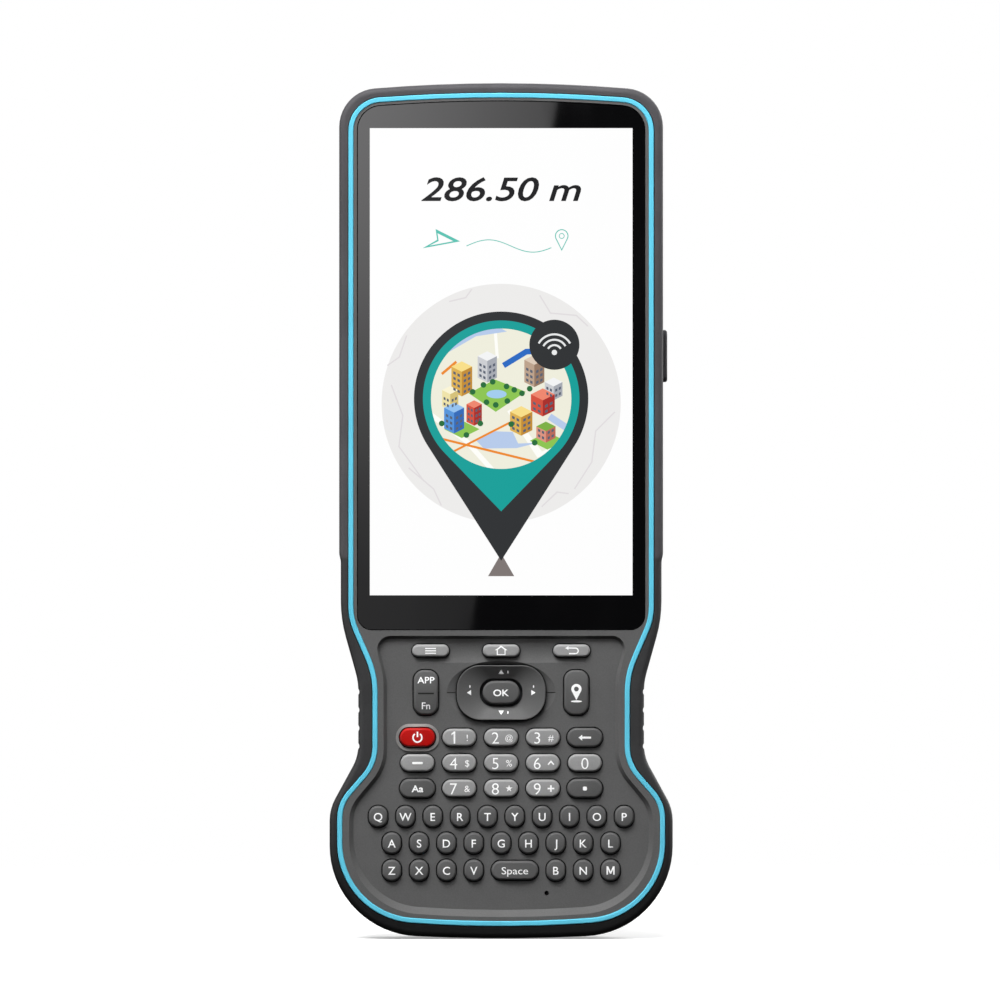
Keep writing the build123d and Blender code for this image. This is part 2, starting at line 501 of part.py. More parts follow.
def make_main_board():
    """The circuit board and what is soldered or plugged into it, as separate solids."""
    with BuildPart() as board:
        with BuildSketch(level(BOARD_BACK)):
            add(grown(TRIM, -BOARD_INSET))
            with Locations(*mirrored(SCREW_POINTS)):
                Circle(BOSS_CLEARANCE_RADIUS, mode=Mode.SUBTRACT)
        extrude(amount=BOARD_FACE - BOARD_BACK)
    with BuildPart() as domes:
        with BuildSketch(level(BOARD_FACE)):
            with Locations(*CONTACTS):
                Circle(DOME_RADIUS)
        extrude(amount=DOME_HEIGHT, taper=DOME_TAPER)
    with BuildPart() as shields:
        for x, z, width, height in SHIELDS:
            with BuildSketch(level(BOARD_BACK)):
                with Locations((x, z)):
                    RectangleRounded(width, height, SHIELD_CORNER)
            extrude(amount=-SHIELD_HEIGHT)
        fillet(shields.faces().sort_by(Axis.Y)[-len(SHIELDS):].edges(), SHIELD_EDGE)
    with BuildPart() as camera:
        with BuildSketch(level(BOARD_BACK)):
            with Locations((CAMERA_X, CAMERA_Z)):
                RectangleRounded(2 * CAMERA_RADIUS, 2 * CAMERA_RADIUS, CAMERA_CORNER)
        extrude(amount=-CAMERA_DEPTH)
        with BuildSketch(level(BOARD_BACK - CAMERA_DEPTH)):
            with Locations((CAMERA_X, CAMERA_Z)):
                Circle(CAMERA_RADIUS)
        extrude(amount=BACK + BEZEL_DEPTH + GAP - BOARD_BACK + CAMERA_DEPTH)
    bore = (USB_WIDTH - 2 * USB_WALL, USB_HEIGHT - 2 * USB_WALL)
    with BuildPart() as connector:
        with BuildSketch(Plane.XY.offset(BODY_DROP)):
            with Locations((0, -USB_LEVEL)):
                RectangleRounded(USB_WIDTH, USB_HEIGHT, USB_HEIGHT / 2 - END_SLACK)
                RectangleRounded(*bore, bore[1] / 2 - END_SLACK, mode=Mode.SUBTRACT)
        extrude(amount=USB_TOP_Z - BODY_DROP)
        with BuildSketch(Plane.XY.offset(USB_TOP_Z - USB_BASE)):
            with Locations((0, -USB_LEVEL)):
                RectangleRounded(*bore, bore[1] / 2 - END_SLACK)
        extrude(amount=USB_BASE)
        with BuildSketch(Plane.XY.offset(BODY_DROP + USB_TONGUE_FOOT)):
            with Locations((0, -USB_LEVEL)):
                Rectangle(*USB_TONGUE)
        extrude(amount=USB_TOP_Z - USB_BASE / 2 - BODY_DROP - USB_TONGUE_FOOT)
    with BuildPart() as speaker:
        with Locations((0, -(FLOOR_INSIDE + SPEAKER_GAP + SPEAKER_BOX[1] / 2), SPEAKER_Z)):
            Box(*SPEAKER_BOX)
        fillet(speaker.edges().filter_by(Axis.Y), SPEAKER_ROUNDING)
    with BuildPart() as side_switch:
        switch_y = SIDE_SWITCH_DROP / 2 - BOARD_BACK
        with Locations((SIDE_SWITCH_X - SIDE_SWITCH_THICK / 2, switch_y, SIDE_KEY_Z)):
            Box(SIDE_SWITCH_THICK, SIDE_SWITCH_DROP, SIDE_SWITCH_LENGTH)
    pieces = (board, domes, shields, camera, connector, speaker, side_switch)
    keep(Compound([solid for piece in pieces for solid in piece.part.solids()]), "main_board")


def make_rear_windows():
    """The camera's cover window and the lamp's light guide, bonded into the raised back."""
    with BuildPart() as window:
        with BuildSketch(level(BACK + BEZEL_DEPTH)):
            with Locations((CAMERA_X, CAMERA_Z)):
                Circle(CAMERA_BEZEL_RADIUS - GAP)
        extrude(amount=WINDOW_SINK - BEZEL_DEPTH)
    with BuildPart() as light_guide:
        with BuildSketch(level(HUMP_INSIDE + LIGHT_GUIDE_ROOT)):
            with Locations((FLASH_X, CAMERA_Z)):
                Circle(FLASH_RADIUS)
        extrude(amount=BACK + WINDOW_SINK - HUMP_INSIDE - LIGHT_GUIDE_ROOT)
    keep(Compound([window.part.solid(), light_guide.part.solid()]), "rear_windows")


def make_battery_pack():
    """The sealed battery in the raised back."""
    with BuildPart() as battery:
        with Locations((0, -(HUMP_INSIDE + BATTERY_GAP + BATTERY_SIZE[1] / 2), BATTERY_Z)):
            Box(*BATTERY_SIZE)
        fillet(battery.edges().filter_by(Axis.Z), BATTERY_ROUNDING)
    keep(battery.part, "battery_pack")


def make_housing_screws():
    """The eight screws that join the casings, put in from behind."""
    with BuildPart() as screws:
        with BuildSketch(level(SCREW_SEAT)):
            with Locations(*mirrored(SCREW_POINTS)):
                Circle(SCREW_RADIUS)
        extrude(amount=SCREW_TIP - SCREW_SEAT)
        with BuildSketch(level(SCREW_SEAT)):
            with Locations(*mirrored(SCREW_POINTS)):
                Circle(SCREW_HEAD_RADIUS)
        extrude(amount=-SCREW_HEAD_HEIGHT)
        chamfer(screws.faces().group_by(Axis.Y)[-1].edges(), SCREW_HEAD_EDGE)
        with BuildSketch(level(SCREW_SEAT - SCREW_HEAD_HEIGHT)):
            with Locations(*mirrored(SCREW_POINTS)):
                RegularPolygon(SCREW_SOCKET_RADIUS, 6)
        extrude(amount=SCREW_SOCKET_DEPTH, mode=Mode.SUBTRACT)
    keep(screws.part, "housing_screws")


def make_key(name, x, z, size):
    """One crowned key cap, kept in by a flange, or by a pivot pin if it rocks, with stems for the mat."""
    width, height, corner, crown = size
    rocks = name == "app_fn"
    with BuildPart() as key:
        with BuildSketch(level(KEY_FLANGE_BOTTOM)):
            with Locations((x, z)):
                RectangleRounded(width, height, corner)
        extrude(amount=KEY_TOP - KEY_FLANGE_BOTTOM)
        with Locations((x, crown - KEY_TOP, z)):
            Sphere(crown, mode=Mode.INTERSECT)
        fillet(key.faces().sort_by(Axis.Y)[0].edges(), KEY_EDGE)
        if rocks:
            with Locations((x, -PIVOT_LEVEL, z)):
                Cylinder(PIVOT_RADIUS, 2 * ROCKER_PIN_REACH, rotation=(0, 90, 0))
        else:
            with BuildSketch(level(KEY_FLANGE_BOTTOM)):
                with Locations((x, z)):
                    Rectangle(width + 2 * KEY_FLANGE_REACH, height * KEY_FLANGE_SHARE)
            extrude(amount=KEY_FLANGE_TOP - KEY_FLANGE_BOTTOM)
        with BuildSketch(level(STEM_END)):
            with Locations(*(ROCKER_CONTACTS if rocks else [(x, z)])):
                Circle(STEM_RADIUS)
        extrude(amount=KEY_FLANGE_BOTTOM - STEM_END)
    keep(key.part, f"{name}_key")


def make_nav_ring():
    """The four-way ring, bowled towards the key in its middle, with two pivot pins along Z underneath."""
    with BuildPart() as ring:
        with BuildSketch(level(NAV_BOTTOM)):
            with Locations((0, NAV_Z)):
                RectangleRounded(*NAV_SIZE, NAV_CORNER)
        extrude(amount=KEY_TOP - NAV_BOTTOM)
        fillet(ring.faces().sort_by(Axis.Y)[0].edges(), NAV_EDGE)
        with BuildSketch(level(NAV_BOWL_LEVEL)):
            with Locations((0, NAV_Z)):
                RectangleRounded(*NAV_HOLE_SIZE, NAV_HOLE_CORNER)
        with BuildSketch(level(KEY_TOP)):
            with Locations((0, NAV_Z)):
                RectangleRounded(*NAV_BOWL_SIZE, NAV_BOWL_CORNER)
        loft(mode=Mode.SUBTRACT)
        with BuildSketch(level(NAV_BOTTOM)):
            with Locations((0, NAV_Z)):
                RectangleRounded(*NAV_HOLE_SIZE, NAV_HOLE_CORNER)
        extrude(amount=NAV_BOWL_LEVEL - NAV_BOTTOM, mode=Mode.SUBTRACT)
        with BuildSketch(level(STEM_END)):
            with Locations(*NAV_CONTACTS[3:]):
                Circle(STEM_RADIUS)
        extrude(amount=NAV_BOTTOM - STEM_END)
        pin_length = SNAP_LUG_ENDS[1] - SNAP_LUG_ENDS[0] - 2 * PIVOT_PLAY
        for side in (1, -1):
            middle = NAV_Z + side * sum(SNAP_LUG_ENDS) / 2
            with BuildSketch(level(PIVOT_LEVEL)):
                with Locations((0, middle)):
                    Rectangle(RING_PIN_NECK, pin_length)
            extrude(amount=NAV_BOTTOM - PIVOT_LEVEL)
            with Locations((0, -PIVOT_LEVEL, middle)):
                Cylinder(RING_PIN_RADIUS, pin_length)
    keep(ring.part, "nav_ring")


def make_nav_actuator():
    """The stiff frame that turns about X in the housing and carries the ring's pins in two snap lugs."""
    with BuildPart() as actuator:
        with BuildSketch(level(ACTUATOR_BOTTOM)):
            with Locations((0, NAV_Z)):
                RectangleRounded(*ACTUATOR_SIZE, ACTUATOR_CORNER)
                RectangleRounded(*ACTUATOR_HOLE_SIZE, ACTUATOR_HOLE_CORNER, mode=Mode.SUBTRACT)
            with Locations(*NAV_CONTACTS[3:]):
                Circle(ACTUATOR_STEM_HOLE_RADIUS, mode=Mode.SUBTRACT)
        extrude(amount=ACTUATOR_TOP - ACTUATOR_BOTTOM)
        with BuildSketch(level(MAT_TOP + NAV_STEM_GAP)):
            with Locations(*NAV_CONTACTS[1:3]):
                Circle(STEM_RADIUS)
        extrude(amount=ACTUATOR_BOTTOM - MAT_TOP - NAV_STEM_GAP)
        lug_length = SNAP_LUG_ENDS[1] - SNAP_LUG_ENDS[0]
        for side in (1, -1):
            middle = NAV_Z + side * sum(SNAP_LUG_ENDS) / 2
            with BuildSketch(level(ACTUATOR_BOTTOM)):
                with Locations((0, middle)):
                    Rectangle(SNAP_LUG_WIDTH, lug_length)
            extrude(amount=SNAP_LUG_TOP - ACTUATOR_BOTTOM)
            with Locations((0, -PIVOT_LEVEL, middle)):
                Cylinder(RING_PIN_RADIUS + PIVOT_PLAY, lug_length, mode=Mode.SUBTRACT)
            with Locations((side * (NAV_PIN_ROOT + NAV_PIN_REACH) / 2, -PIVOT_LEVEL, NAV_Z)):
                Cylinder(PIVOT_RADIUS, NAV_PIN_REACH - NAV_PIN_ROOT, rotation=(0, 90, 0))
    keep(actuator.part, "nav_actuator")


def make_ok_key():
    """The confirm key in the middle of the ring, on a narrower stem that passes through the actuator."""
    with BuildPart() as key:
        with BuildSketch(level(OK_SHOULDER)):
            with Locations((0, NAV_Z)):
                RectangleRounded(*OK_SIZE, OK_CORNER)
        extrude(amount=OK_TOP - OK_SHOULDER)
        with Locations((0, OK_CROWN - OK_TOP, NAV_Z)):
            Sphere(OK_CROWN, mode=Mode.INTERSECT)
        fillet(key.faces().sort_by(Axis.Y)[0].edges(), KEY_EDGE)
        with BuildSketch(level(STEM_END)):
            with Locations((0, NAV_Z)):
                RectangleRounded(*OK_STEM_SIZE, OK_STEM_CORNER)
        extrude(amount=OK_SHOULDER - STEM_END)
    keep(key.part, "ok_key")


def make_side_key():
    """The long key in the right-hand side, kept in by a flange inside the wall."""
    flange_root = SIDE_KEY_FLANGE_X - SIDE_KEY_FLANGE_THICK
    edge = 2 * SIDE_KEY_FLANGE_EDGE
    with BuildPart() as key:
        with BuildSketch(Plane.YZ.offset(flange_root)):
            with Locations((0, SIDE_KEY_Z)):
                RectangleRounded(SIDE_KEY_HEIGHT, SIDE_KEY_LENGTH, SIDE_KEY_HEIGHT / 2 - END_SLACK)
        extrude(amount=SIDE_KEY_REACH - flange_root)
        fillet(key.faces().sort_by(Axis.X)[-1].edges(), SIDE_KEY_ROUNDING)
        with BuildSketch(Plane.YZ.offset(flange_root)):
            with Locations((0, SIDE_KEY_Z)):
                RectangleRounded(SIDE_KEY_HEIGHT + edge, SIDE_KEY_LENGTH + edge, SIDE_KEY_HEIGHT / 2)
        extrude(amount=SIDE_KEY_FLANGE_THICK)
        with BuildSketch(Plane.YZ.offset(SIDE_PLUNGER_X)):
            with Locations((0, SIDE_KEY_Z)):
                Circle(PLUNGER_RADIUS)
        extrude(amount=flange_root - SIDE_PLUNGER_X)
    keep(key.part, "side_key")


def main():
    """Builds every piece and writes its STEP file."""
    os.makedirs("parts", exist_ok=True)
    make_front_housing()
    make_rear_housing()
    make_trim_ring()
    make_display_module()
    make_keypad_mat()
    make_main_board()
    make_rear_windows()
    make_battery_pack()
    make_housing_screws()
    for name, (x, z, size) in KEYS.items():
        make_key(name, x, z, size)
    make_nav_ring()
    make_nav_actuator()
    make_ok_key()
    make_side_key()


main()
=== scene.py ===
"""The data collector's looks, built around its CAD frame: materials, key legends and display."""

import math

import bmesh
import bpy
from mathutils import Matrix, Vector


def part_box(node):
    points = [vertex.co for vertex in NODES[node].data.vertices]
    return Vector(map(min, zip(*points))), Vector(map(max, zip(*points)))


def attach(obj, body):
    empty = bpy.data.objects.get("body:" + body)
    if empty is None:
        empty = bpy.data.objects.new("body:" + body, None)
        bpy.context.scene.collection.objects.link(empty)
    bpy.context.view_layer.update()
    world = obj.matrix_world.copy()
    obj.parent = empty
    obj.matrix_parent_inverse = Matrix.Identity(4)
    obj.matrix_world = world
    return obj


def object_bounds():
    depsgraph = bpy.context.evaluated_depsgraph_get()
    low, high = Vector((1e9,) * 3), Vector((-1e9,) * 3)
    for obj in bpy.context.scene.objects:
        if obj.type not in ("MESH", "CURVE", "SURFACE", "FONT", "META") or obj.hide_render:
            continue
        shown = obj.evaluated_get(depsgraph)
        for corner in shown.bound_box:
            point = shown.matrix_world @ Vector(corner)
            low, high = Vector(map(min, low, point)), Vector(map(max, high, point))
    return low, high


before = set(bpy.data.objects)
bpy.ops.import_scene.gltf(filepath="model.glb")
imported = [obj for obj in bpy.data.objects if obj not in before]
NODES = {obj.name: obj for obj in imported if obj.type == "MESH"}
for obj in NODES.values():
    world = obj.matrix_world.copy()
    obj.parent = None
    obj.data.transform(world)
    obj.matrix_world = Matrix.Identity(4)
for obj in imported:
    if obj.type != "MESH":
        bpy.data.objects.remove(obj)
CAD_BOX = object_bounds()

MM = 0.001
TAU = 2 * math.pi

# ---- Sizes in millimetres unless a name says otherwise ---------------------------------------
LEGEND_RISE, LEGEND_SINK = 0.035, 0.08  # a legend stands this far out of its key, and reaches in
LEGEND_STEP = 0.7  # longest edge of a legend's mesh, so that it follows the key's crown
LEGEND_THICKNESS = 1.0  # before it is laid on its key, when only the sign of a depth counts
LETTER_CAP, DIGIT_CAP, SYMBOL_CAP = 2.15, 3.15, 1.8
CAP_SHARE = 0.729  # the built-in font's capital height as a share of its size
DISPLAY_WIDTH, DISPLAY_HEIGHT = 68.1, 121.1
DISPLAY_BOTTOM_MARGIN = 9.0  # from the glass's lower edge to the lit area
LAYER = 0.008  # each layer of the display picture stands this far above the one below
VIEW_HEIGHT = 0.2592  # what the camera sees at the object, in metres
CAMERA_PLACE = (-0.0003, -2.4, 0.1137)  # metres

POWER_HALF_LINE, POWER_CAP_RADIUS = 2.1, 2.5  # the power key's outline: a line grown by a radius
SURROUND_REACH = (1.02, 1.08)  # where the paler surround ends, out from the power key
SURROUND_LEVEL = (-10.75, -10.65)  # Y of its front face, and just behind it
SURROUND_HIGHLIGHT = (-4.0, 4.0)  # painted highlight: the surround is paler towards the upper side
GRIP_STEP_Z = (98.2, 99.2)  # where the hard casing gives way to the grip's rubber
GRIP_SHADE_Z = (4.0, 50.0)  # painted shade: between these the rubber darkens downwards
BOARD_FRONT_Y, BOARD_BACK_Y = (-5.45, -5.42), (-4.18, -4.15)  # the bare board lies between these
LENS_RADIUS = (3.6, 3.8)
LENS_RING_PITCH = 1.3
LAMP_DISTANCE = (6.5, 6.3)  # from the lens, to the left
PIXEL_PITCH = 0.12
SYMBOL_X, DIGIT_X = 2.05, -1.5  # a digit key's two legends, from its middle
FLOOR_RADIUS, FLOOR_DROP, FLOOR_FADE = 1.2, 0.0002, (0.12, 0.5)  # metres
CARD_CORNERS = [(-400, -60), (-33, -60), (45, 420), (-400, 420)]
CARD_GAP = 0.02  # metres, behind the camera
CARD_GLOW = 3.2


# ---- Materials -------------------------------------------------------------------------------
def in_metres(lengths):
    """Lengths in mm, in metres."""
    return [length * MM for length in lengths]


def linear(red, green, blue):
    """A linear colour from 0-255 display values."""
    shares = [c / 255 for c in (red, green, blue)]
    return tuple(((c + 0.055) / 1.055) ** 2.4 if c > 0.04 else c / 12.92 for c in shares) + (1,)


class Shader:
    """One node material, with short ways to add the nodes that every material here is made of."""

    def __init__(self, name):
        self.material = bpy.data.materials.new(name)
        self.material.use_nodes = True
        self.tree = self.material.node_tree
        self.surface = self.tree.nodes["Principled BSDF"]
        self.place = self.tree.nodes.new("ShaderNodeTexCoord").outputs["Object"]

    def link(self, value, socket):
        """Sets a socket from another node's output or from a plain value."""
        if isinstance(value, bpy.types.NodeSocket):
            self.tree.links.new(value, socket)
        else:
            socket.default_value = value

    def set(self, **values):
        """Sets the surface's inputs, such as Base_Color or Roughness."""
        for name, value in values.items():
            self.link(value, self.surface.inputs[name.replace("_", " ")])

    def math(self, operation, *values):
        """The output of a Math node."""
        node = self.tree.nodes.new("ShaderNodeMath")
        node.operation = operation
        for socket, value in zip(node.inputs, values):
            self.link(value, socket)
        return node.outputs[0]

    def length(self, first, second):
        """The length of the vector with these two components."""
        squares = [self.math("MULTIPLY", part, part) for part in (first, second)]
        return self.math("SQRT", self.math("ADD", *squares))

    def wave(self, value, pitch_mm):
        """A sine wave along a value in metres, from -1 to 1."""
        return self.math("SINE", self.math("MULTIPLY", value, TAU / (pitch_mm * MM)))

    def noise(self, size_mm, detail=2.0, stretch=(1, 1, 1)):
        """Noise with features of about this size, from 0 to 1, stretched along the axes."""
        mapping = self.tree.nodes.new("ShaderNodeMapping")
        mapping.inputs["Scale"].default_value = [1 / s for s in stretch]
        self.link(self.place, mapping.inputs["Vector"])
        node = self.tree.nodes.new("ShaderNodeTexNoise")
        node.inputs["Scale"].default_value = 1 / (size_mm * MM)
        node.inputs["Detail"].default_value = detail
        self.link(mapping.outputs[0], node.inputs["Vector"])
        return node.outputs["Fac"]

    def cells(self, size_mm):
        """Distance to the nearest of scattered cell centres."""
        node = self.tree.nodes.new("ShaderNodeTexVoronoi")
        node.inputs["Scale"].default_value = 1 / (size_mm * MM)
        self.link(self.place, node.inputs["Vector"])
        return node.outputs["Distance"]

    def span(self, value, low, high, new_low=0.0, new_high=1.0):
        """A value mapped smoothly from one range to another and held at its ends."""
        node = self.tree.nodes.new("ShaderNodeMapRange")
        node.interpolation_type = "SMOOTHSTEP"
        for socket, number in zip(node.inputs, (value, low, high, new_low, new_high)):
            self.link(number, socket)
        return node.outputs[0]

    def blend(self, factor, first, second):
        """Two colours mixed."""
        node = self.tree.nodes.new("ShaderNodeMix")
        node.data_type = "RGBA"
        for name, value in (("Factor_Float", factor), ("A_Color", first), ("B_Color", second)):
            self.link(value, [s for s in node.inputs if s.identifier == name][0])
        return [s for s in node.outputs if s.identifier == "Result_Color"][0]

    def axis(self, name):
        """One coordinate of the surface point, in metres in the row frame."""
        node = self.tree.nodes.new("ShaderNodeSeparateXYZ")
        self.link(self.place, node.inputs[0])
        return node.outputs[name]

    def bump(self, *layers):
        """Bump from (height, depth in mm) layers."""
        normal = None
        for height, depth in layers:
            node = self.tree.nodes.new("ShaderNodeBump")
            node.inputs["Distance"].default_value = depth * MM
            self.link(height, node.inputs["Height"])
            if normal is not None:
                self.link(normal, node.inputs["Normal"])
            normal = node.outputs[0]
        self.link(normal, self.surface.inputs["Normal"])

    def edges(self, radius_mm):
        """Near 1 on worn outer edges and 0 elsewhere."""
        bevel = self.tree.nodes.new("ShaderNodeBevel")
        bevel.samples = 4
        bevel.inputs["Radius"].default_value = radius_mm * MM
        geometry = self.tree.nodes.new("ShaderNodeNewGeometry")
        dot = self.tree.nodes.new("ShaderNodeVectorMath")
        dot.operation = "DOT_PRODUCT"
        self.link(bevel.outputs[0], dot.inputs[0])
        self.link(geometry.outputs["Normal"], dot.inputs[1])
        return self.span(dot.outputs["Value"], 0.985, 0.80)

    def painted_crease_shade(self, reach_mm, darkest):
        """Painted shade: 1 in the open, falling to the darkest share deep in gaps."""
        node = self.tree.nodes.new("ShaderNodeAmbientOcclusion")
        node.samples = 6
        node.inputs["Distance"].default_value = reach_mm * MM
        return self.span(node.outputs["AO"], 0.15, 0.8, darkest, 1.0)

    def painted_underside_shade(self, darkest):
        """Painted shade: 1 on faces that look up or out, falling to the darkest share on those
        facing down.
        """
        geometry = self.tree.nodes.new("ShaderNodeNewGeometry")
        split = self.tree.nodes.new("ShaderNodeSeparateXYZ")
        self.link(geometry.outputs["Normal"], split.inputs[0])
        return self.span(split.outputs["Z"], -0.8, -0.1, darkest, 1.0)

    def shaded(self, colour, *shares):
        """A colour, or a colour output, multiplied by every share."""
        product = shares[0]
        for share in shares[1:]:
            product = self.math("MULTIPLY", product, share)
        node = self.tree.nodes.new("ShaderNodeVectorMath")
        node.operation = "SCALE"
        if not isinstance(colour, bpy.types.NodeSocket):
            colour = colour[:3]
        self.link(colour, node.inputs[0])
        self.link(product, node.inputs["Scale"])
        return node.outputs[0]


def moulded(
    name, colour, roughness, grain_mm=0.28, grain_depth=0.012,
    fade=0.08, crease_shade=0.3, wear=0.25, under=1.0,
):
    """Moulded plastic: grain, slow shade changes, scuffs, paler worn edges, painted shade in gaps
    and on faces that look down.
    """
    shader = Shader(name)
    tone = shader.span(shader.noise(9.0, 3.0), 0.3, 0.7, 1 - fade, 1 + fade)
    speck = shader.span(shader.noise(grain_mm, 1.0), 0.25, 0.75, 0.94, 1.06)
    patchy = shader.span(shader.noise(2.5, 4.0), 0.35, 0.65)
    worn = shader.math("MULTIPLY", shader.edges(0.35), patchy)
    pale = shader.math("ADD", 1.0, shader.math("MULTIPLY", worn, wear))
    if callable(colour):
        colour = colour(shader)
    # painted shade: darker in gaps and on faces that look down
    dark = shader.math("MULTIPLY", shader.painted_crease_shade(1.4, crease_shade), shader.painted_underside_shade(under))
    shader.set(Base_Color=shader.shaded(colour, tone, speck, pale, dark))
    rub = shader.span(shader.noise(4.0, 4.0, (1, 1, 3)), 0.55, 0.75, 0.0, 0.10)
    polish = shader.math("ADD", rub, shader.math("MULTIPLY", worn, 0.12))
    shader.set(Roughness=shader.math("SUBTRACT", roughness, polish))
    grain = shader.noise(grain_mm, 2.0)
    shader.bump((grain, grain_depth), (shader.cells(grain_mm * 2.2), grain_depth * 0.6))
    return shader


def housing_material():
    """Grey grained plastic, with a paler metallic-looking surround round the power key whose
    upper side is a painted highlight.
    """
    low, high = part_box("power_key")
    centre = (low + high) / 2

    def colour(shader):
        across = shader.math("ABSOLUTE", shader.math("SUBTRACT", shader.axis("X"), centre.x))
        past_line = shader.math("SUBTRACT", across, POWER_HALF_LINE * MM)
        beyond = shader.math("MAXIMUM", past_line, 0.0)
        up = shader.math("SUBTRACT", shader.axis("Z"), centre.z)
        distance = shader.math("SUBTRACT", shader.length(beyond, up), POWER_CAP_RADIUS * MM)
        surround = shader.span(distance, *in_metres(SURROUND_REACH), 1.0, 0.0)
        level = shader.span(shader.axis("Y"), *in_metres(SURROUND_LEVEL), 1.0, 0.0)
        # painted highlight: the surround is lighter towards its upper left and darker towards its
        # lower right
        slant = shader.math("SUBTRACT", up, across)
        upper = shader.span(slant, *in_metres(SURROUND_HIGHLIGHT), 0.35, 1.0)
        mask = shader.math("MULTIPLY", shader.math("MULTIPLY", surround, level), upper)
        return shader.blend(mask, linear(90, 90, 90), linear(176, 172, 170))

    # under=0.35 sets the painted shade on faces that look down
    return moulded("housing", colour, 0.56, 0.3, 0.012, 0.03, 0.22, under=0.35).material


def bumper_material():
    """Hard casing above the grip's step, dark rubber below it, with painted shade darkening it
    towards the lower end.
    """

    def colour(shader):
        up = shader.axis("Z")
        # painted shade: the rubber darkens towards the lower end
        height = shader.span(up, *in_metres(GRIP_SHADE_Z))
        grip = shader.blend(height, linear(14, 14, 15), linear(52, 52, 53))
        return shader.blend(shader.span(up, *in_metres(GRIP_STEP_Z)), grip, linear(73, 72, 75))

    return moulded("bumper", colour, 0.55, 0.32, 0.016).material


def key_material(name, colour, roughness=0.42):
    """A satin keycap, a little polished where fingers press."""
    # under=0.4 sets the painted shade on faces that look down
    return moulded(name, colour, roughness, 0.16, 0.004, 0.05, 0.12, 0.12, under=0.4).material


def trim_material():
    """Satin coloured plastic with faint flow marks along the strip."""
    shader = moulded("trim", linear(96, 200, 228), 0.38, 0.2, 0.004, 0.04, 0.6, 0.08)
    shader.set(Coat_Weight=0.25, Coat_Roughness=0.25)
    return shader.material


def glass_material():
    """Black-bordered cover glass with faint finger smears."""
    shader = Shader("cover_glass")
    smear = shader.span(shader.noise(16.0, 5.0, (1, 1, 2.5)), 0.45, 0.75)
    shader.set(Base_Color=shader.blend(smear, linear(9, 9, 10), linear(13, 13, 14)))
    shader.set(Roughness=shader.math("ADD", shader.math("MULTIPLY", smear, 0.03), 0.012))
    shader.set(Specular_IOR_Level=0.6)
    shader.bump((shader.noise(30.0, 1.0), 0.004))
    return shader.material


def window_material():
    """Dark lens rings behind the camera's window, and a pale diffuser over the lamp."""
    shader = Shader("rear_windows")
    low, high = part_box("rear_windows")
    camera_x = high.x - (high.z - low.z) / 2
    across = shader.math("SUBTRACT", shader.axis("X"), camera_x)
    up = shader.math("SUBTRACT", shader.axis("Z"), (low.z + high.z) / 2)
    radius = shader.length(across, up)
    rings = shader.span(shader.wave(radius, LENS_RING_PITCH), 0.2, 0.9)
    lens = shader.blend(rings, linear(10, 11, 14), linear(34, 38, 48))
    glass = shader.blend(shader.span(radius, *in_metres(LENS_RADIUS)), lens, linear(12, 12, 13))
    lamp_edge = [camera_x - distance * MM for distance in LAMP_DISTANCE]
    lamp = shader.span(shader.axis("X"), *lamp_edge, 1.0, 0.0)
    facets = shader.blend(shader.cells(0.6), linear(190, 182, 150), linear(236, 232, 214))
    shader.set(Base_Color=shader.blend(lamp, glass, facets))
    shader.set(Roughness=shader.span(lamp, 0.0, 1.0, 0.05, 0.3))
    shader.bump((shader.math("MULTIPLY", shader.cells(0.6), lamp), 0.05))
    return shader.material


def silicone_material():
    """Translucent grey silicone with a dusty bloom."""
    shader = moulded("silicone", linear(60, 60, 62), 0.55, 0.5, 0.01)
    shader.set(Subsurface_Weight=0.15, Subsurface_Scale=0.001)
    return shader.material


def board_material():
    """Solder mask with copper traces under it, and tinned shields and domes on its two faces."""
    shader = Shader("board")
    traces = shader.span(shader.noise(2.2, 6.0, (3, 1, 1)), 0.48, 0.52)
    mask = shader.blend(traces, linear(12, 70, 38), linear(20, 96, 52))
    depth = shader.axis("Y")
    front = shader.span(depth, *in_metres(BOARD_FRONT_Y), 1.0, 0.0)
    back = shader.span(depth, *in_metres(BOARD_BACK_Y))
    metal = shader.math("MAXIMUM", front, back)
    tin = shader.blend(shader.noise(1.2, 4.0), linear(150, 150, 148), linear(186, 186, 182))
    shader.set(Base_Color=shader.blend(metal, mask, tin), Metallic=metal)
    shader.set(Roughness=shader.span(shader.noise(3.0, 3.0), 0.3, 0.7, 0.28, 0.45))
    shader.bump((traces, 0.02))
    return shader.material


def battery_material():
    """Shrink wrap pulled into slight ripples."""
    shader = moulded("battery_wrap", linear(36, 40, 48), 0.35, 0.6, 0.01)
    shader.bump((shader.noise(7.0, 2.0, (3, 1, 1)), 0.12))
    return shader.material


def steel_material():
    """Turned black-passivated steel."""
    shader = Shader("screw_steel")
    rings = shader.noise(0.25, 2.0, (1, 3, 1))
    colour = shader.blend(rings, linear(84, 84, 86), linear(116, 116, 118))
    shader.set(Base_Color=colour, Metallic=0.9)
    shader.set(Roughness=shader.span(rings, 0.2, 0.8, 0.3, 0.5))
    shader.bump((rings, 0.006))
    return shader.material


def print_material(name, colour, painted_glow=0.0):
    """Legend ink, slightly uneven and matt, and faintly emissive as painted light that keeps it
    bright where the key is shaded.
    """
    shader = moulded(name, colour, 0.5, 0.12, 0.002, 0.03, 0.8, 0.0)
    # painted light: the ink emits a little so that it stays bright on shaded slopes
    shader.set(Emission_Color=colour, Emission_Strength=painted_glow)
    return shader.material


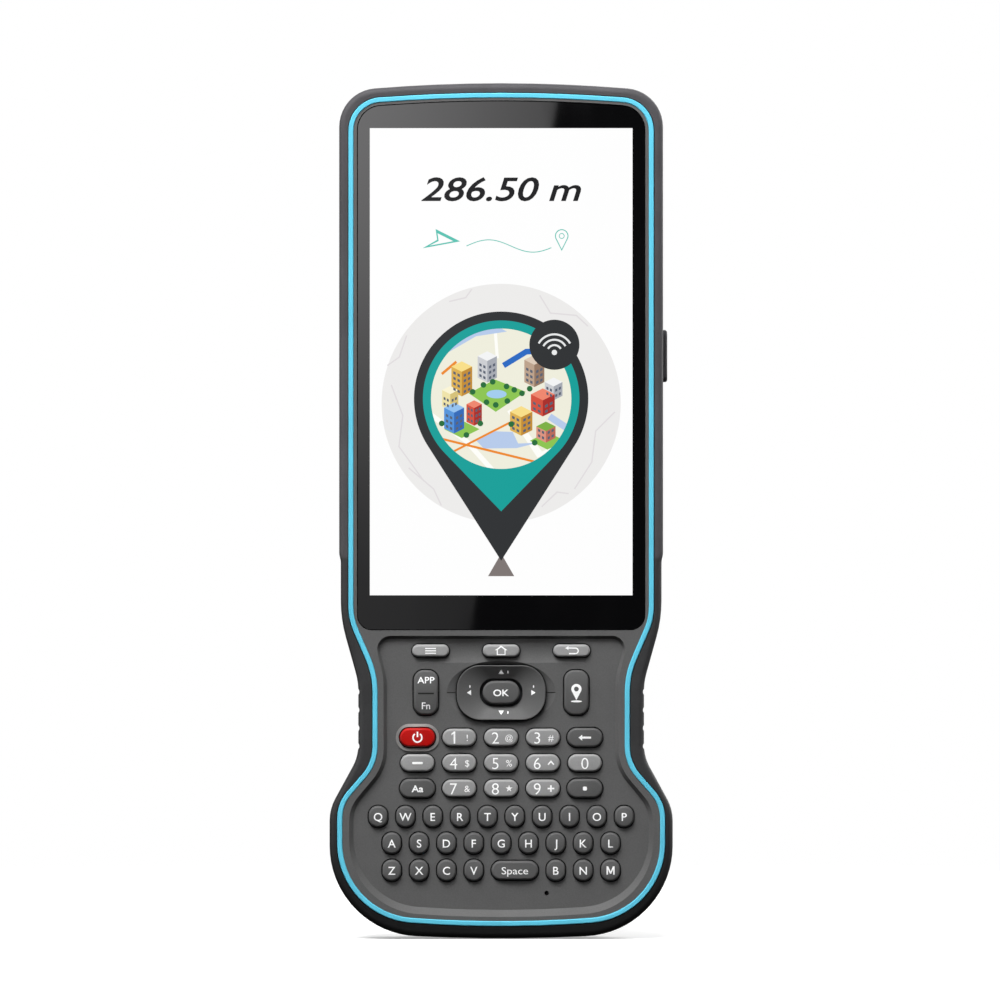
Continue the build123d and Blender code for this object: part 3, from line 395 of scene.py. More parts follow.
def lit_material(name, colour, strength=1.0):
    """A lit area of the display under glass, with its pixel grid."""
    shader = Shader(name)
    grid = 1.0
    for side in ("X", "Z"):
        lines = shader.span(shader.wave(shader.axis(side), PIXEL_PITCH), -1.0, -0.7, 0.97, 1.0)
        grid = shader.math("MULTIPLY", grid, lines)
    shader.set(Base_Color=(0.0, 0.0, 0.0, 1), Emission_Color=colour)
    shader.set(Emission_Strength=shader.math("MULTIPLY", grid, strength))
    smear = shader.noise(16.0, 5.0, (1, 1, 2.5))
    shader.set(Roughness=shader.span(smear, 0.45, 0.75, 0.1, 0.2), Specular_IOR_Level=0.08)
    return shader.material


def paint(material, *names):
    """Gives CAD nodes a material."""
    for name in names:
        data = NODES[name].data
        data.materials.clear()
        data.materials.append(material)


# ---- Flat shapes -----------------------------------------------------------------------------
# A shape is a list of closed loops of (x, z) points in mm about its own centre. A loop inside
# another is a hole.
def polar(radius, angle, x=0.0, z=0.0):
    """The point at an angle on a circle."""
    return (x + radius * math.cos(angle), z + radius * math.sin(angle))


def box_loop(width, height, x=0.0, z=0.0, radius=0.0, steps=6):
    """A rectangle, with rounded corners if it has a radius."""
    corners = ((1, 1), (-1, 1), (-1, -1), (1, -1))
    if radius <= 0:
        return [(x + sx * width / 2, z + sz * height / 2) for sx, sz in corners]
    points = []
    for quarter, (sx, sz) in enumerate(corners):
        centre = (x + sx * (width / 2 - radius), z + sz * (height / 2 - radius))
        for step in range(steps + 1):
            angle = (quarter + step / steps) * TAU / 4
            points.append(polar(radius, angle, *centre))
    return points


def circle_loop(radius, x=0.0, z=0.0, steps=32, height=None):
    """A circle or, with a height, an ellipse."""
    tall = radius if height is None else height
    angles = [i / steps * TAU for i in range(steps)]
    return [(x + radius * math.cos(a), z + tall * math.sin(a)) for a in angles]


def stroke_loop(points, width):
    """The outline of a line of this width through points, with flat ends."""
    left, right = [], []
    last = len(points) - 1
    for i, (x, z) in enumerate(points):
        before, after = points[max(i - 1, 0)], points[min(i + 1, last)]
        run = Vector((after[0] - before[0], after[1] - before[1])).normalized()
        stretch = 1.0
        if 0 < i < last:
            step = Vector((after[0] - x, after[1] - z)).normalized()
            stretch = 1 / max(run.dot(step), 0.5)
        offset = Vector((-run.y, run.x)) * width / 2 * stretch
        left.append((x + offset.x, z + offset.y))
        right.append((x - offset.x, z - offset.y))
    return left + right[::-1]


def arc_points(radius, start_deg, end_deg, x=0.0, z=0.0, steps=20):
    """Points along an arc, for a stroke."""
    turn = end_deg - start_deg
    angles = [math.radians(start_deg + turn * i / steps) for i in range(steps + 1)]
    return [polar(radius, angle, x, z) for angle in angles]


def pin_loop(radius, tip_drop, x=0.0, z=0.0, steps=40):
    """A map pin: a circle drawn down to a tip by two straight sides that are its tangents."""
    half = math.acos(radius / tip_drop)
    start, end = -TAU / 4 + half, -TAU / 4 - half + TAU
    angles = [start + (end - start) * i / steps for i in range(steps + 1)]
    return [polar(radius, angle, x, z) for angle in angles] + [(x, z - tip_drop)]


def filled(loops, thickness):
    """Loops filled, with holes, to a thickness in mm: a mesh in its own XY plane, in metres."""
    curve = bpy.data.curves.new("outline", "CURVE")
    curve.dimensions = "2D"
    curve.fill_mode = "BOTH"
    curve.extrude = thickness / 2 * MM
    for loop in loops:
        spline = curve.splines.new("POLY")
        spline.points.add(len(loop) - 1)
        for point, (x, z) in zip(spline.points, loop):
            point.co = (x * MM, z * MM, 0, 1)
        spline.use_cyclic_u = True
    return solid_from(curve)


def lettered(text, cap_height, thickness, weight=0.0, slant=0.0, width=1.0):
    """A mesh of centred text, in its own XY plane, in metres."""
    curve = bpy.data.curves.new("text", "FONT")
    curve.body = text
    curve.size = cap_height / CAP_SHARE * MM
    curve.resolution_u = 4
    curve.offset = weight * MM
    curve.shear = slant
    curve.extrude = thickness / 2 * MM
    mesh = solid_from(curve)
    xs = [v.co.x for v in mesh.vertices]
    middle = (min(xs) + max(xs)) / 2
    for vertex in mesh.vertices:
        vertex.co.x = (vertex.co.x - middle) * width
        vertex.co.y -= cap_height / 2 * MM
    return mesh


def solid_from(curve):
    """A curve's mesh with doubled points merged, so that it is closed."""
    maker = bpy.data.objects.new("maker", curve)
    bpy.context.scene.collection.objects.link(maker)
    bpy.context.view_layer.update()
    shaped = maker.evaluated_get(bpy.context.evaluated_depsgraph_get())
    mesh = bpy.data.meshes.new_from_object(shaped)
    bpy.data.objects.remove(maker)
    work = bmesh.new()
    work.from_mesh(mesh)
    bmesh.ops.remove_doubles(work, verts=work.verts, dist=0.0005 * MM)
    bmesh.ops.recalc_face_normals(work, faces=work.faces)
    work.to_mesh(mesh)
    work.free()
    return mesh


def joined(meshes):
    """One mesh from (mesh, x mm, z mm) entries."""
    work = bmesh.new()
    for mesh, x, z in meshes:
        count = len(work.verts)
        work.from_mesh(mesh)
        work.verts.ensure_lookup_table()
        bmesh.ops.translate(work, verts=work.verts[count:], vec=(x * MM, z * MM, 0))
    result = bpy.data.meshes.new("joined")
    work.to_mesh(result)
    work.free()
    return result


def piece(name, mesh, material, body):
    """A shown object that rides on a CAD body."""
    mesh.materials.clear()
    mesh.materials.append(material)
    thing = bpy.data.objects.new(name, mesh)
    bpy.context.scene.collection.objects.link(thing)
    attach(thing, body)
    return thing


def refine(mesh, longest_mm):
    """Splits edges until none is longer than this."""
    work = bmesh.new()
    work.from_mesh(mesh)
    for _ in range(5):
        bmesh.ops.triangulate(work, faces=[f for f in work.faces if len(f.verts) > 3])
        long_edges = [e for e in work.edges if e.calc_length() > longest_mm * MM]
        if not long_edges:
            break
        bmesh.ops.subdivide_edges(work, edges=long_edges, cuts=1)
    bmesh.ops.triangulate(work, faces=[f for f in work.faces if len(f.verts) > 3])
    work.to_mesh(mesh)
    work.free()


def drape(mesh, node_name, x, z):
    """Lays a flat legend onto a CAD node's front at (x, z) in metres, with its back inside."""
    refine(mesh, LEGEND_STEP)
    node = NODES[node_name]
    reach = CAD_BOX[0].y - 0.01
    for vertex in mesh.vertices:
        local = vertex.co.copy()
        place = Vector((x + local.x, reach, z + local.y))
        hit, point, _, _ = node.ray_cast(place, Vector((0, 1, 0)))
        front = point.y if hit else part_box(node_name)[0].y
        lift = -LEGEND_RISE if local.z > 0 else LEGEND_SINK
        vertex.co = (place.x, front + lift * MM, place.z)
    mesh.update()


def flat(mesh, front_y_mm, x=0.0, z=0.0):
    """Stands a flat mesh up at a depth: its own +Z turns to face out of the display."""
    for vertex in mesh.vertices:
        local = vertex.co.copy()
        vertex.co = (x * MM + local.x, front_y_mm * MM - local.z, z * MM + local.y)
    mesh.update()


# ---- Key legends -----------------------------------------------------------------------------
def legend(key, entries, material=None):
    """Prints legends on a key: meshes with their x and z in mm from the key's centre."""
    node = f"{key}_key" if f"{key}_key" in NODES else key
    low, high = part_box(node)
    centre = (low + high) / 2
    mesh = joined(entries)
    drape(mesh, node, centre.x, centre.z)
    body = {"nav_ring": "nav_pad"}.get(key, key)
    return piece(f"{key}_legend", mesh, material or WHITE_INK, body)


def text_entry(text, cap, x=0.0, z=0.0, weight=0.03, width=1.0):
    """A legend entry of text."""
    return (lettered(text, cap, LEGEND_THICKNESS, weight, 0.0, width), x, z)


def shape_entry(shape, x=0.0, z=0.0):
    """A legend entry of a flat shape."""
    return (filled(shape, LEGEND_THICKNESS), x, z)


def make_legends():
    """Every key's legend."""
    for letter in "abcdefghijklnopqrstuvwxyz":
        legend(f"letter_{letter}", [text_entry(letter.upper(), LETTER_CAP)])
    legend("letter_m", [shape_entry([letter_m()])])
    for index, symbol in enumerate("!@#$%^&*+"):
        number = str(index + 1)
        if number == "1":
            digit = shape_entry([digit_one()], DIGIT_X)
        else:
            digit = text_entry(number, DIGIT_CAP, DIGIT_X, weight=-0.02)
        legend(f"digit_{number}", [digit, symbol_entry(symbol)])
    legend("digit_0", [text_entry("0", DIGIT_CAP, weight=-0.02)])
    legend("space", [text_entry("Space", 1.95, weight=0.0, width=1.15)])
    legend("shift", [text_entry("Aa", 1.8, weight=0.05, width=1.1)])
    legend("ok", [text_entry("OK", 1.75, weight=0.05, width=1.14)])
    legend("dot", [shape_entry([box_loop(1.05, 1.05, radius=0.3)])])
    legend("minus", [shape_entry([box_loop(2.75, 0.6, radius=0.2)])])
    legend("menu", [shape_entry([box_loop(2.8, 0.28, 0, z)]) for z in (0.62, 0.0, -0.62)])
    legend("home", [shape_entry(home_icon())])
    legend("back", [shape_entry([back_icon()])])
    legend("power", [shape_entry(power_icon())])
    legend("locate", [shape_entry(locate_icon())])
    legend("backspace", [shape_entry([arrow_icon()])])
    upper = text_entry("APP", 1.75, 0, 3.3, weight=0.02, width=1.08)
    lower = text_entry("Fn", 1.85, 0, -3.35, weight=0.02)
    legend("app_fn", [upper, lower])
    legend("nav_ring", nav_marks())
    # painted shade: a flat dark strip stands for the shade in the groove across the key
    groove = legend("app_fn", [shape_entry([box_loop(4.1, 0.38, 0, -0.2)])], PAINTED_GROOVE_SHADE)
    groove.name = "app_fn_divider"


def symbol_entry(symbol):
    """The small second legend to the right of a digit."""
    if symbol == "*":
        return shape_entry([star_loop(5, 0.95, 0.38)], SYMBOL_X)
    if symbol == "+":
        return shape_entry([plus_loop(1.75, 0.42)], SYMBOL_X)
    if symbol == "^":
        caret = stroke_loop([(-0.75, -0.4), (0, 0.45), (0.75, -0.4)], 0.38)
        return shape_entry([caret], SYMBOL_X)
    share = 0.85 if symbol == "@" else 1.0
    return text_entry(symbol, SYMBOL_CAP * share, SYMBOL_X, weight=0.0)


def digit_one():
    """A figure one with a short flag."""
    flag = [(0.1, 1.58), (-0.55, 1.05), (-0.55, 0.62), (0.03, 1.02)]
    return [(0.45, -1.58), (0.45, 1.58)] + flag + [(0.03, -1.58)]


def letter_m():
    """A capital M."""
    right = [(0, -0.25), (0.62, 1.08), (1.05, 1.08), (1.05, -1.08), (0.69, -1.08), (0.69, 0.3)]
    right.append((0.16, -0.85))
    return right + [(-x, z) for x, z in right[:0:-1]]


def star_loop(points, outer, inner):
    """A star, point up."""
    loop = []
    for i in range(2 * points):
        radius = outer if i % 2 == 0 else inner
        loop.append(polar(radius, TAU / 4 + i * TAU / (2 * points)))
    return loop


def plus_loop(size, width):
    """An upright cross."""
    far, near = size / 2, width / 2
    corner = [(near, far), (near, near), (far, near)]
    loop = []
    for quarter in range(4):
        turned = [(x, z) for x, z in corner]
        for _ in range(quarter):
            turned = [(z, -x) for x, z in turned]
        loop += turned
    return loop


def arrow_icon():
    """A plain arrow to the left."""
    upper = [(-1.65, 0), (-0.7, 0.78), (-0.7, 0.27), (1.6, 0.27)]
    return upper + [(x, -z) for x, z in upper[:0:-1]]


def home_icon():
    """A house outline."""
    outer = [(0, 1.35), (1.65, 0.15), (1.15, 0.15), (1.15, -1.15)]
    outer += [(-x, z) for x, z in outer[:0:-1]]
    inner = [(0, 0.92), (0.85, 0.3), (0.85, -0.85), (-0.85, -0.85), (-0.85, 0.3)]
    return [outer, inner]


def back_icon():
    """An arrow that turns back to the left."""
    half = 0.17
    radius = 0.72
    outer = arc_points(radius + half, 90, -90, 0.95, steps=12)
    inner = arc_points(radius - half, -90, 90, 0.95, steps=12)
    head = [(-0.85, radius - half), (-0.85, 0.22), (-1.75, radius), (-0.85, 1.22)]
    head.append((-0.85, radius + half))
    tail = [(-0.7, -radius - half), (-0.7, -radius + half)]
    return head + outer + tail + inner


def power_icon():
    """A broken ring with a bar."""
    ring = stroke_loop(arc_points(1.15, 125, 415), 0.4)
    bar = box_loop(0.4, 1.4, 0, 0.85)
    return [ring, bar]


def locate_icon():
    """A pin over a small foot."""
    pin = pin_loop(1.32, 2.85, 0, 0.95)
    eye = circle_loop(0.62, 0, 0.95, 20)
    foot = circle_loop(1.45, 0, -2.25, 24, 0.26)
    return [pin, eye, foot]


def nav_marks():
    """A triangle and a small tick at each end of the ring's two axes."""
    up = [(-0.7, -0.5), (0.7, -0.5), (0, 0.6)]
    down = [(x, -z) for x, z in up]
    left = [(-z, x) for x, z in up]
    right = [(z, x) for x, z in up]
    tick = [box_loop(0.28, 0.7, radius=0.1, steps=3)]
    spots = (
        (up, 0, 5.35, 1.75, 5.35),
        (down, 0, -5.15, 1.75, -5.15),
        (left, -8.3, 0, -8.1, 1.6),
        (right, 8.3, 0, 8.4, 1.6),
    )
    entries = []
    for triangle, x, z, tick_x, tick_z in spots:
        entries.append(shape_entry([triangle], x, z))
        entries.append(shape_entry(tick, tick_x, tick_z))
    return entries


# ---- Display picture -------------------------------------------------------------------------
DISC_RADIUS, DISC_Z = 31.0, -10.8
PIN_Z, PIN_RADIUS, PIN_DROP = -9.6, 22.6, 42.0
RIM_RADIUS, RIM_DROP, MAP_RADIUS = 20.3, 29.2, 18.2
BADGE_X, BADGE_Z, BADGE_RADIUS = 13.8, 4.4, 6.5
HEADING_Z, ROUTE_Z = 44.9, 31.0
# The town's blocks: the lowest corner's x and z from the map's centre, half-width, height, paint.
TOWN = (
    (-10.2, 0.6, 2.7, 6.4, "amber"),
    (-3.6, 4.2, 2.5, 5.6, "silver"),
    (8.6, 3.0, 2.6, 5.8, "clay"),
    (13.6, -0.4, 2.3, 3.6, "silver"),
    (-13.2, -3.0, 2.1, 4.2, "cream"),
    (-12.2, -9.0, 2.6, 5.4, "blue"),
    (-7.0, -7.0, 2.0, 4.6, "red"),
    (10.8, -4.6, 3.1, 4.2, "red"),
    (5.2, -9.6, 2.9, 4.8, "amber"),
    (11.6, -11.4, 2.5, 3.0, "leaf"),
)
# Left, right and roof colours of each paint.
PAINTS = {
    "amber": ((222, 178, 84), (196, 142, 56), (250, 224, 138)),
    "silver": ((206, 208, 212), (168, 172, 180), (244, 245, 246)),
    "clay": ((190, 164, 142), (150, 122, 102), (222, 204, 186)),
    "cream": ((240, 228, 170), (214, 194, 122), (252, 246, 214)),
    "blue": ((88, 150, 220), (54, 108, 186), (150, 196, 242)),
    "red": ((214, 84, 66), (170, 48, 44), (240, 136, 112)),
    "leaf": ((222, 150, 130), (188, 108, 92), (126, 178, 70)),
}
WALL_SLOPE = 0.5  # the blocks' edges rise by this share of their width
TREES = (
    (-7.4, 1.8), (-4.6, 3.6), (-2.2, 4.4), (1.4, 3.2), (3.4, 2.3), (5.4, 1.4),
    (-3.8, -0.9), (-1.4, -1.6), (1.6, -0.6), (-15.4, -6.4), (-9.0, -9.4), (-5.4, -6.4),
    (2.6, -6.6), (8.7, -11.4), (14.6, -12.2), (7.4, 2.6),
)
TREE_RADIUS = 0.75
PIN_COLOUR = (51, 53, 55)


def on_map(points):
    """Points about the map's centre, moved to where the map is."""
    return [(x, PIN_Z + z) for x, z in points]


def display_centre_z():
    """Height of the display picture's centre, in mm."""
    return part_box("display_module")[0].z / MM + DISPLAY_BOTTOM_MARGIN + DISPLAY_HEIGHT / 2


def display_front_y():
    """Depth of the glass's front, in mm."""
    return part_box("display_module")[0].y / MM


def screen_layer(name, shapes, level, colour):
    """One colour of the display picture: shapes in mm about its centre, on a layer of its own."""
    thickness = LAYER * (level + 1)
    mesh = filled(shapes, thickness)
    flat(mesh, display_front_y() - thickness / 2, 0.0, display_centre_z())
    light = lit_material(f"display_{name}", linear(*colour))
    return piece(f"display_{name}", mesh, light, "casing")


def block_faces(x, z, half, height):
    """Left wall, right wall and roof of one town block, as loops about the map's centre."""
    rise = half * WALL_SLOPE
    left = [(x, z), (x, z + height), (x - half, z + height + rise), (x - half, z + rise)]
    right = [(x, z), (x + half, z + rise), (x + half, z + height + rise), (x, z + height)]
    top = z + height
    roof = [(x, top), (x + half, top + rise), (x, top + 2 * rise), (x - half, top + rise)]
    return left, right, roof


def block_windows(x, z, half, height):
    """Two columns of slanted windows on each wall of a town block."""
    loops = []
    rows = int(height / 1.5)
    for row in range(rows):
        foot = z + 0.55 + row * 1.4
        for start, end in ((0.18, 0.42), (0.58, 0.82)):
            for side in (1, -1):
                near, far = side * half * start, side * half * end
                low_near, low_far = foot + abs(near) * WALL_SLOPE, foot + abs(far) * WALL_SLOPE
                sill = [(x + near, low_near), (x + far, low_far)]
                head = [(px, pz + 0.7) for px, pz in reversed(sill)]
                loops.append(sill + head)
    return loops


def make_town(first_level):
    """The small town on the round map, one piece for each colour, drawn from back to front."""
    level = first_level
    for paint_name, colours in PAINTS.items():
        blocks = [block[:4] for block in TOWN if block[4] == paint_name]
        faces = [block_faces(x, PIN_Z + z, half, height) for x, z, half, height in blocks]
        for side, loops, colour in zip(("left", "right", "roof"), zip(*faces), colours):
            screen_layer(f"{paint_name}_{side}", loops, level, colour)
        level += 1
    windows = []
    for x, z, half, height, _ in TOWN:
        windows += block_windows(x, PIN_Z + z, half, height)
    screen_layer("windows", windows, level, (92, 100, 116))
    return level


def route_arrow():
    """A hollow navigation arrow that points along the route."""
    outer = [(-20.4, -1.6), (-10.6, 0.2), (-17.0, 3.4), (-16.6, 0.6)]
    inner = [(-18.6, -0.9), (-12.4, 0.25), (-16.5, 2.3), (-16.2, 0.3)]
    return [[(x, ROUTE_Z + z) for x, z in loop] for loop in (outer, inner)]


def make_ground():
    """The lit area, a pale disc on it with faint streets, and the arrow under the pin."""
    screen_layer("white", [box_loop(DISPLAY_WIDTH, DISPLAY_HEIGHT)], 0, (255, 255, 255))
    screen_layer("disc", [circle_loop(DISC_RADIUS, 0, DISC_Z, 96)], 1, (238, 237, 236))
    lines = (
        [(-28.5, -6), (-25.5, -14), (-26.5, -22), (-20, -31)],
        [(-24, -27.5), (-17.5, -33), (-15.5, -37.3)],
        [(19, -33), (23.5, -26), (24.5, -18), (29.5, -13)],
        [(10.5, -37.6), (14.5, -33.8), (17.5, -34.2)],
        [(10, 17.2), (12.8, 12.6), (19.5, 12), (22.5, 9.2)],
        [(-13.5, 15.6), (-9.2, 16.6), (-7.6, 18.8)],
        [(-24.5, 6.8), (-26.4, 1.2), (-29.5, -1)],
    )
    screen_layer("streets", [stroke_loop(line, 0.35) for line in lines], 2, (226, 222, 224))
    screen_layer("pointer", [[(-3.4, -55.6), (3.4, -55.6), (0, -49.7)]], 3, (128, 120, 118))


def make_map():
    """The round map, from its ground up to its trees."""

    def strip(points, width):
        return stroke_loop(on_map(points), width)

    screen_layer("map", [circle_loop(MAP_RADIUS + 0.8, 0, PIN_Z, 96)], 2, (240, 239, 222))
    screen_layer("pale_roads", [
        strip([(-1.6, 18.6), (-1.0, 10.5)], 0.8),
        strip([(-18.4, -4.0), (-9.0, -11.0), (-2.0, -18.8)], 1.3),
        strip([(2.0, -3.0), (10.0, -14.5), (14.5, -12.2)], 1.0),
    ], 3, (255, 255, 250))
    lake = [(-6.5, -10.8), (-2.5, -8.4), (3.0, -8.6), (4.4, -11.6), (9.5, -11.4)]
    lake += [(4.0, -12.8), (-4.5, -12.9)]
    screen_layer("water", [
        on_map([(-14.6, 11.5), (-6.5, 16.2), (1.5, 17.4), (-1.0, 18.8), (-9.5, 16.8)]),
        on_map(lake),
        strip([(12.5, -4.6), (18.6, -8.6)], 1.8),
    ], 4, (184, 204, 236))
    river = strip([(0.6, 8.6), (6.5, 12.2), (14.0, 12.6)], 1.5)
    screen_layer("river", [river], 4, (46, 108, 196))
    lawns = [on_map([(-8.4, 1.4), (-1.6, 5.0), (6.4, 1.8), (-1.4, -3.4)])]
    for x, z in ((-10.2, -9.6), (12.0, -12.6)):
        lawns.append(on_map([(x, z - 0.6), (x + 4.6, z + 1.7), (x, z + 4.0), (x - 4.6, z + 1.7)]))
    screen_layer("park", lawns, 5, (142, 198, 84))
    screen_layer("pond", [circle_loop(2.6, -1.2, PIN_Z + 1.2, 32, 1.1)], 6, (164, 206, 240))
    screen_layer("highways", [
        strip([(-15.4, 6.4), (-11.6, 9.6)], 0.7),
        strip([(-12.6, -13.8), (2.2, -6.2)], 0.55),
        strip([(-16.2, -10.2), (9.8, -16.6)], 0.6),
    ], 6, (238, 140, 48))
    level = make_town(7)
    trees = [circle_loop(TREE_RADIUS, x, z, 16) for x, z in on_map(TREES)]
    screen_layer("trees", trees, level + 1, (44, 112, 62))
    return level + 1


def make_pin(level):
    """The map's pin-shaped frame, with a badge on its shoulder, above this level."""

    def frame_shape(radius, drop, hole):
        return [pin_loop(radius, drop, 0, PIN_Z, 96), circle_loop(hole, 0, PIN_Z, 96)]

    pin = frame_shape(PIN_RADIUS, PIN_DROP, RIM_RADIUS - 0.4)
    screen_layer("pin", pin, level + 1, PIN_COLOUR)
    rim = frame_shape(RIM_RADIUS, RIM_DROP, MAP_RADIUS)
    screen_layer("rim", rim, level + 2, (28, 161, 155))
    badge = circle_loop(BADGE_RADIUS, BADGE_X, BADGE_Z, 48)
    screen_layer("badge", [badge], level + 3, PIN_COLOUR)
    foot = BADGE_Z - 2.0
    arcs = [arc_points(radius, 30, 150, BADGE_X, foot, 16) for radius in (1.9, 3.3, 4.7)]
    icon = [stroke_loop(arc, 0.5) for arc in arcs] + [circle_loop(0.7, BADGE_X, foot, 20)]
    screen_layer("badge_icon", icon, level + 4, (236, 238, 238))


def make_heading():
    """The distance readout, and under it the route's arrow, wavy line and end pin."""
    steps = [step / 2 for step in range(-18, 27)]
    wave = [(x, ROUTE_Z - 1.0 + 1.6 * math.sin((x + 9.0) / 23.0 * TAU)) for x in steps]
    x, z = 15.7, ROUTE_Z + 1.6
    route = route_arrow() + [stroke_loop(wave, 0.22)]
    route += [pin_loop(1.75, 3.9, x, z), pin_loop(1.5, 3.4, x, z)]
    route += [circle_loop(0.75, x, z, 24), circle_loop(0.55, x, z, 24)]
    screen_layer("route", route, 2, (92, 196, 180))
    reading = lettered("286.50 m", 6.3, 2 * LAYER, 0.1, 0.25, 1.27)
    flat(reading, display_front_y() - 2 * LAYER, 0.0, display_centre_z() + HEADING_Z)
    light = lit_material("display_reading", linear(34, 34, 36))
    piece("display_reading", reading, light, "casing")


def make_display_picture():
    """A plain map app: a distance, a route line, and a pin that holds a round map of a town."""
    make_ground()
    make_pin(make_map())
    make_heading()


# ---- Stage, light and camera -----------------------------------------------------------------
def make_stage():
    """A pale floor that fades into the pale surroundings."""
    mesh = bpy.data.meshes.new("floor")
    work = bmesh.new()
    bmesh.ops.create_circle(work, cap_ends=True, radius=FLOOR_RADIUS, segments=96)
    work.to_mesh(mesh)
    work.free()
    floor = bpy.data.objects.new("floor", mesh)
    floor.location.z = CAD_BOX[0].z - FLOOR_DROP
    bpy.context.scene.collection.objects.link(floor)
    shader = Shader("floor")
    radius = shader.length(shader.axis("X"), shader.axis("Y"))
    tone = shader.span(shader.noise(60.0, 3.0), 0.3, 0.7, 0.80, 0.83)
    combined = shader.tree.nodes.new("ShaderNodeCombineColor")
    for socket in combined.inputs[:3]:
        shader.link(tone, socket)
    shader.set(Base_Color=combined.outputs[0], Roughness=0.8)
    shader.set(Alpha=shader.span(radius, *FLOOR_FADE, 1.0, 0.0))
    shader.set(Emission_Color=(1, 1, 1, 1), Emission_Strength=0.35)
    mesh.materials.append(shader.material)
    floor.visible_diffuse = False
    floor.visible_glossy = False


def area_light(name, place, target, size, power, diffuse=True, glossy=True):
    """A soft rectangular light aimed at a point."""
    data = bpy.data.lights.new(name, "AREA")
    data.shape = "RECTANGLE"
    data.size, data.size_y = size
    data.energy = power
    lamp = bpy.data.objects.new(name, data)
    lamp.location = place
    lamp.rotation_mode = "QUATERNION"
    lamp.rotation_quaternion = (Vector(target) - Vector(place)).to_track_quat("-Z", "Y")
    lamp.visible_diffuse = diffuse
    lamp.visible_glossy = glossy
    lamp.visible_camera = False
    bpy.context.scene.collection.objects.link(lamp)


def make_world():
    """White to the camera, softer to surfaces, and dark behind the camera for the black glass."""
    world = bpy.data.worlds.new("studio")
    bpy.context.scene.world = world
    world.use_nodes = True
    tree = world.node_tree
    tree.nodes.clear()
    output = tree.nodes.new("ShaderNodeOutputWorld")
    mix = tree.nodes.new("ShaderNodeMixShader")
    path = tree.nodes.new("ShaderNodeLightPath")
    seen = tree.nodes.new("ShaderNodeBackground")
    seen.inputs["Color"].default_value = (1.0, 1.0, 1.0, 1)
    seen.inputs["Strength"].default_value = 1.0
    felt = tree.nodes.new("ShaderNodeBackground")
    place = tree.nodes.new("ShaderNodeTexCoord")
    split = tree.nodes.new("ShaderNodeSeparateXYZ")
    front = tree.nodes.new("ShaderNodeMapRange")
    front.interpolation_type = "SMOOTHSTEP"
    for socket, number in zip(front.inputs[1:5], (-0.99, -0.75, 0.03, 1.0)):
        socket.default_value = number
    up = tree.nodes.new("ShaderNodeMapRange")
    for socket, number in zip(up.inputs[1:5], (-0.4, 0.9, 0.04, 0.26)):
        socket.default_value = number
    product = tree.nodes.new("ShaderNodeMath")
    product.operation = "MULTIPLY"
    tree.links.new(place.outputs["Generated"], split.inputs[0])
    tree.links.new(split.outputs["Y"], front.inputs[0])
    tree.links.new(split.outputs["Z"], up.inputs[0])
    tree.links.new(front.outputs[0], product.inputs[0])
    tree.links.new(up.outputs[0], product.inputs[1])
    tree.links.new(product.outputs[0], felt.inputs["Strength"])
    tree.links.new(path.outputs["Is Camera Ray"], mix.inputs[0])
    tree.links.new(felt.outputs[0], mix.inputs[1])
    tree.links.new(seen.outputs[0], mix.inputs[2])
    tree.links.new(mix.outputs[0], output.inputs[0])


def make_glare_card():
    """A dim card beside the camera whose reflection lies over the glass's upper left."""
    mesh = filled([CARD_CORNERS], 0.1)
    flat(mesh, 0.0)
    card = bpy.data.objects.new("glare_card", mesh)
    bpy.context.scene.collection.objects.link(card)
    card.location.y = CAMERA_PLACE[1] - CARD_GAP
    shader = Shader("glare_card")
    height = shader.span(shader.axis("Z"), 0.06, 0.34, 0.15, 1.0)
    side = shader.span(shader.axis("X"), -0.09, 0.05, 1.0, 0.42)
    shader.set(Base_Color=(0, 0, 0, 1), Emission_Color=(1.0, 0.99, 1.0, 1), Roughness=1.0)
    share = shader.math("MULTIPLY", height, side)
    shader.set(Emission_Strength=shader.math("MULTIPLY", share, CARD_GLOW))
    mesh.materials.append(shader.material)
    card.visible_camera = False
    card.visible_diffuse = False
    card.visible_transmission = False
    card.visible_shadow = False


def make_camera():
    """A long lens straight in front of the object, at half its height."""
    data = bpy.data.cameras.new("camera")
    camera = bpy.data.objects.new("camera", data)
    camera.location = CAMERA_PLACE
    camera.rotation_euler = (math.pi / 2, 0, 0)
    data.lens = data.sensor_width * (CAD_BOX[0].y - CAMERA_PLACE[1]) / VIEW_HEIGHT
    bpy.context.scene.collection.objects.link(camera)
    bpy.context.scene.camera = camera


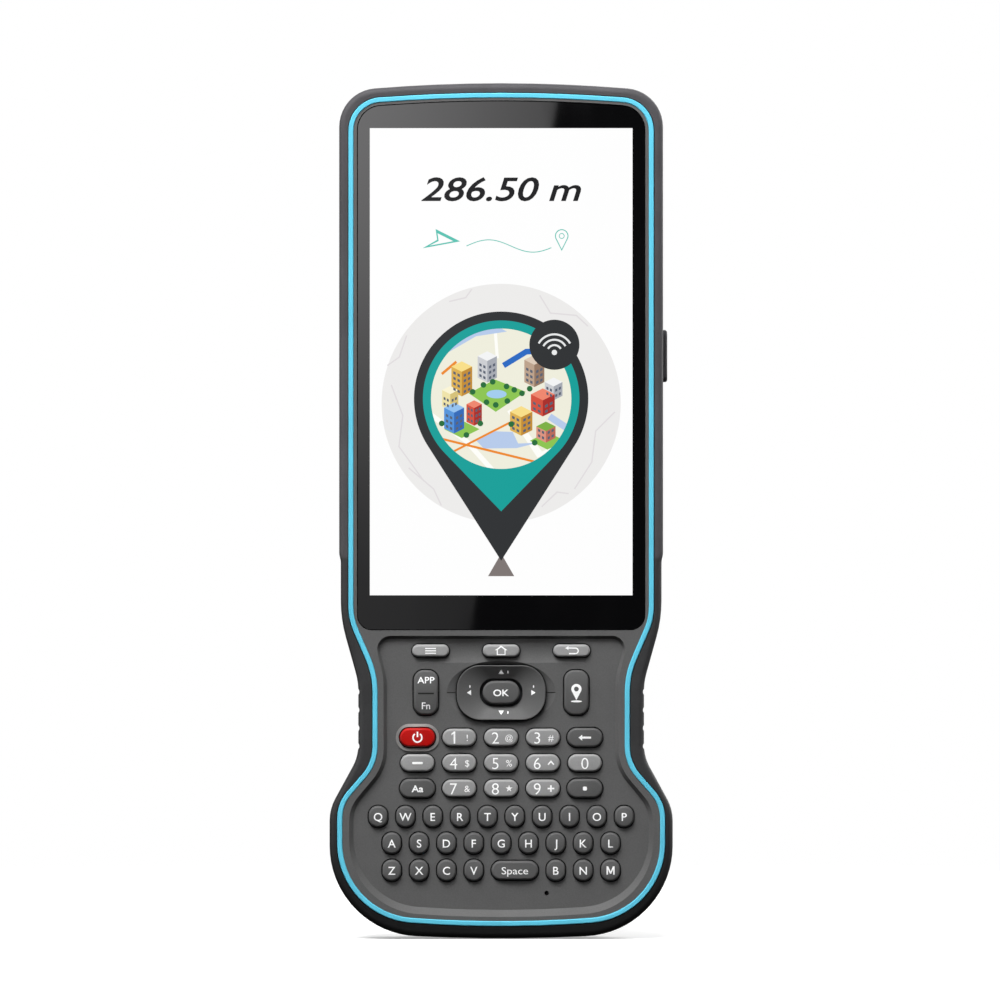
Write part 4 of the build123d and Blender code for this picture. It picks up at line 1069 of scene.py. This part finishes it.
# white ink with a faint emission as painted light
WHITE_INK = print_material("white_ink", linear(236, 236, 236), 0.16)
# dark ink that paints the shade of the key's groove
PAINTED_GROOVE_SHADE = print_material("painted_groove_shade", linear(24, 24, 24))

paint(housing_material(), "front_housing")
paint(bumper_material(), "rear_housing", "side_key")
paint(trim_material(), "trim_ring")
paint(glass_material(), "display_module")
paint(window_material(), "rear_windows")
paint(silicone_material(), "keypad_mat", "nav_actuator")
paint(board_material(), "main_board")
paint(battery_material(), "battery_pack")
paint(steel_material(), "housing_screws")
GREY_KEYS = ["menu", "home", "back", "minus"] + [f"digit_{i}" for i in range(10)]
DARK_KEYS = ["backspace", "shift", "dot", "ok", "app_fn", "locate", "space"]
DARK_KEYS += [f"letter_{letter}" for letter in "abcdefghijklmnopqrstuvwxyz"]
GREY_PLASTIC = key_material("grey_key", linear(148, 148, 148))
DARK_PLASTIC = key_material("dark_key", linear(88, 88, 88))
paint(GREY_PLASTIC, *[f"{key}_key" for key in GREY_KEYS])
paint(DARK_PLASTIC, "nav_ring", *[f"{key}_key" for key in DARK_KEYS])
paint(key_material("red_key", linear(176, 8, 4)), "power_key")

make_legends()
make_display_picture()
make_stage()
make_world()
make_glare_card()
make_camera()
area_light("top_soft", (-0.22, -0.56, 1.02), (0, 0, 0.12), (0.8, 0.5), 21.5, glossy=False)
area_light("top_sheen", (-0.22, -0.56, 1.02), (0, 0, 0.12), (0.8, 0.5), 6.0, diffuse=False)
area_light("front_fill", (0.0, -1.6, 0.95), (0, 0, 0.1), (1.6, 0.7), 4.0, glossy=False)
area_light("left_soft", (-1.0, -0.5, 0.3), (0, 0, 0.11), (0.4, 0.9), 2.0)
area_light("right_soft", (1.0, -0.5, 0.3), (0, 0, 0.11), (0.4, 0.9), 0.8)
area_light("back_soft", (0.5, 1.1, 0.6), (0, 0, 0.10), (1.0, 0.9), 15.0)
area_light("right_behind", (1.15, 0.3, 0.45), (0, 0, 0.10), (0.6, 0.9), 5.0)
bpy.context.scene.view_settings.view_transform = "Standard"
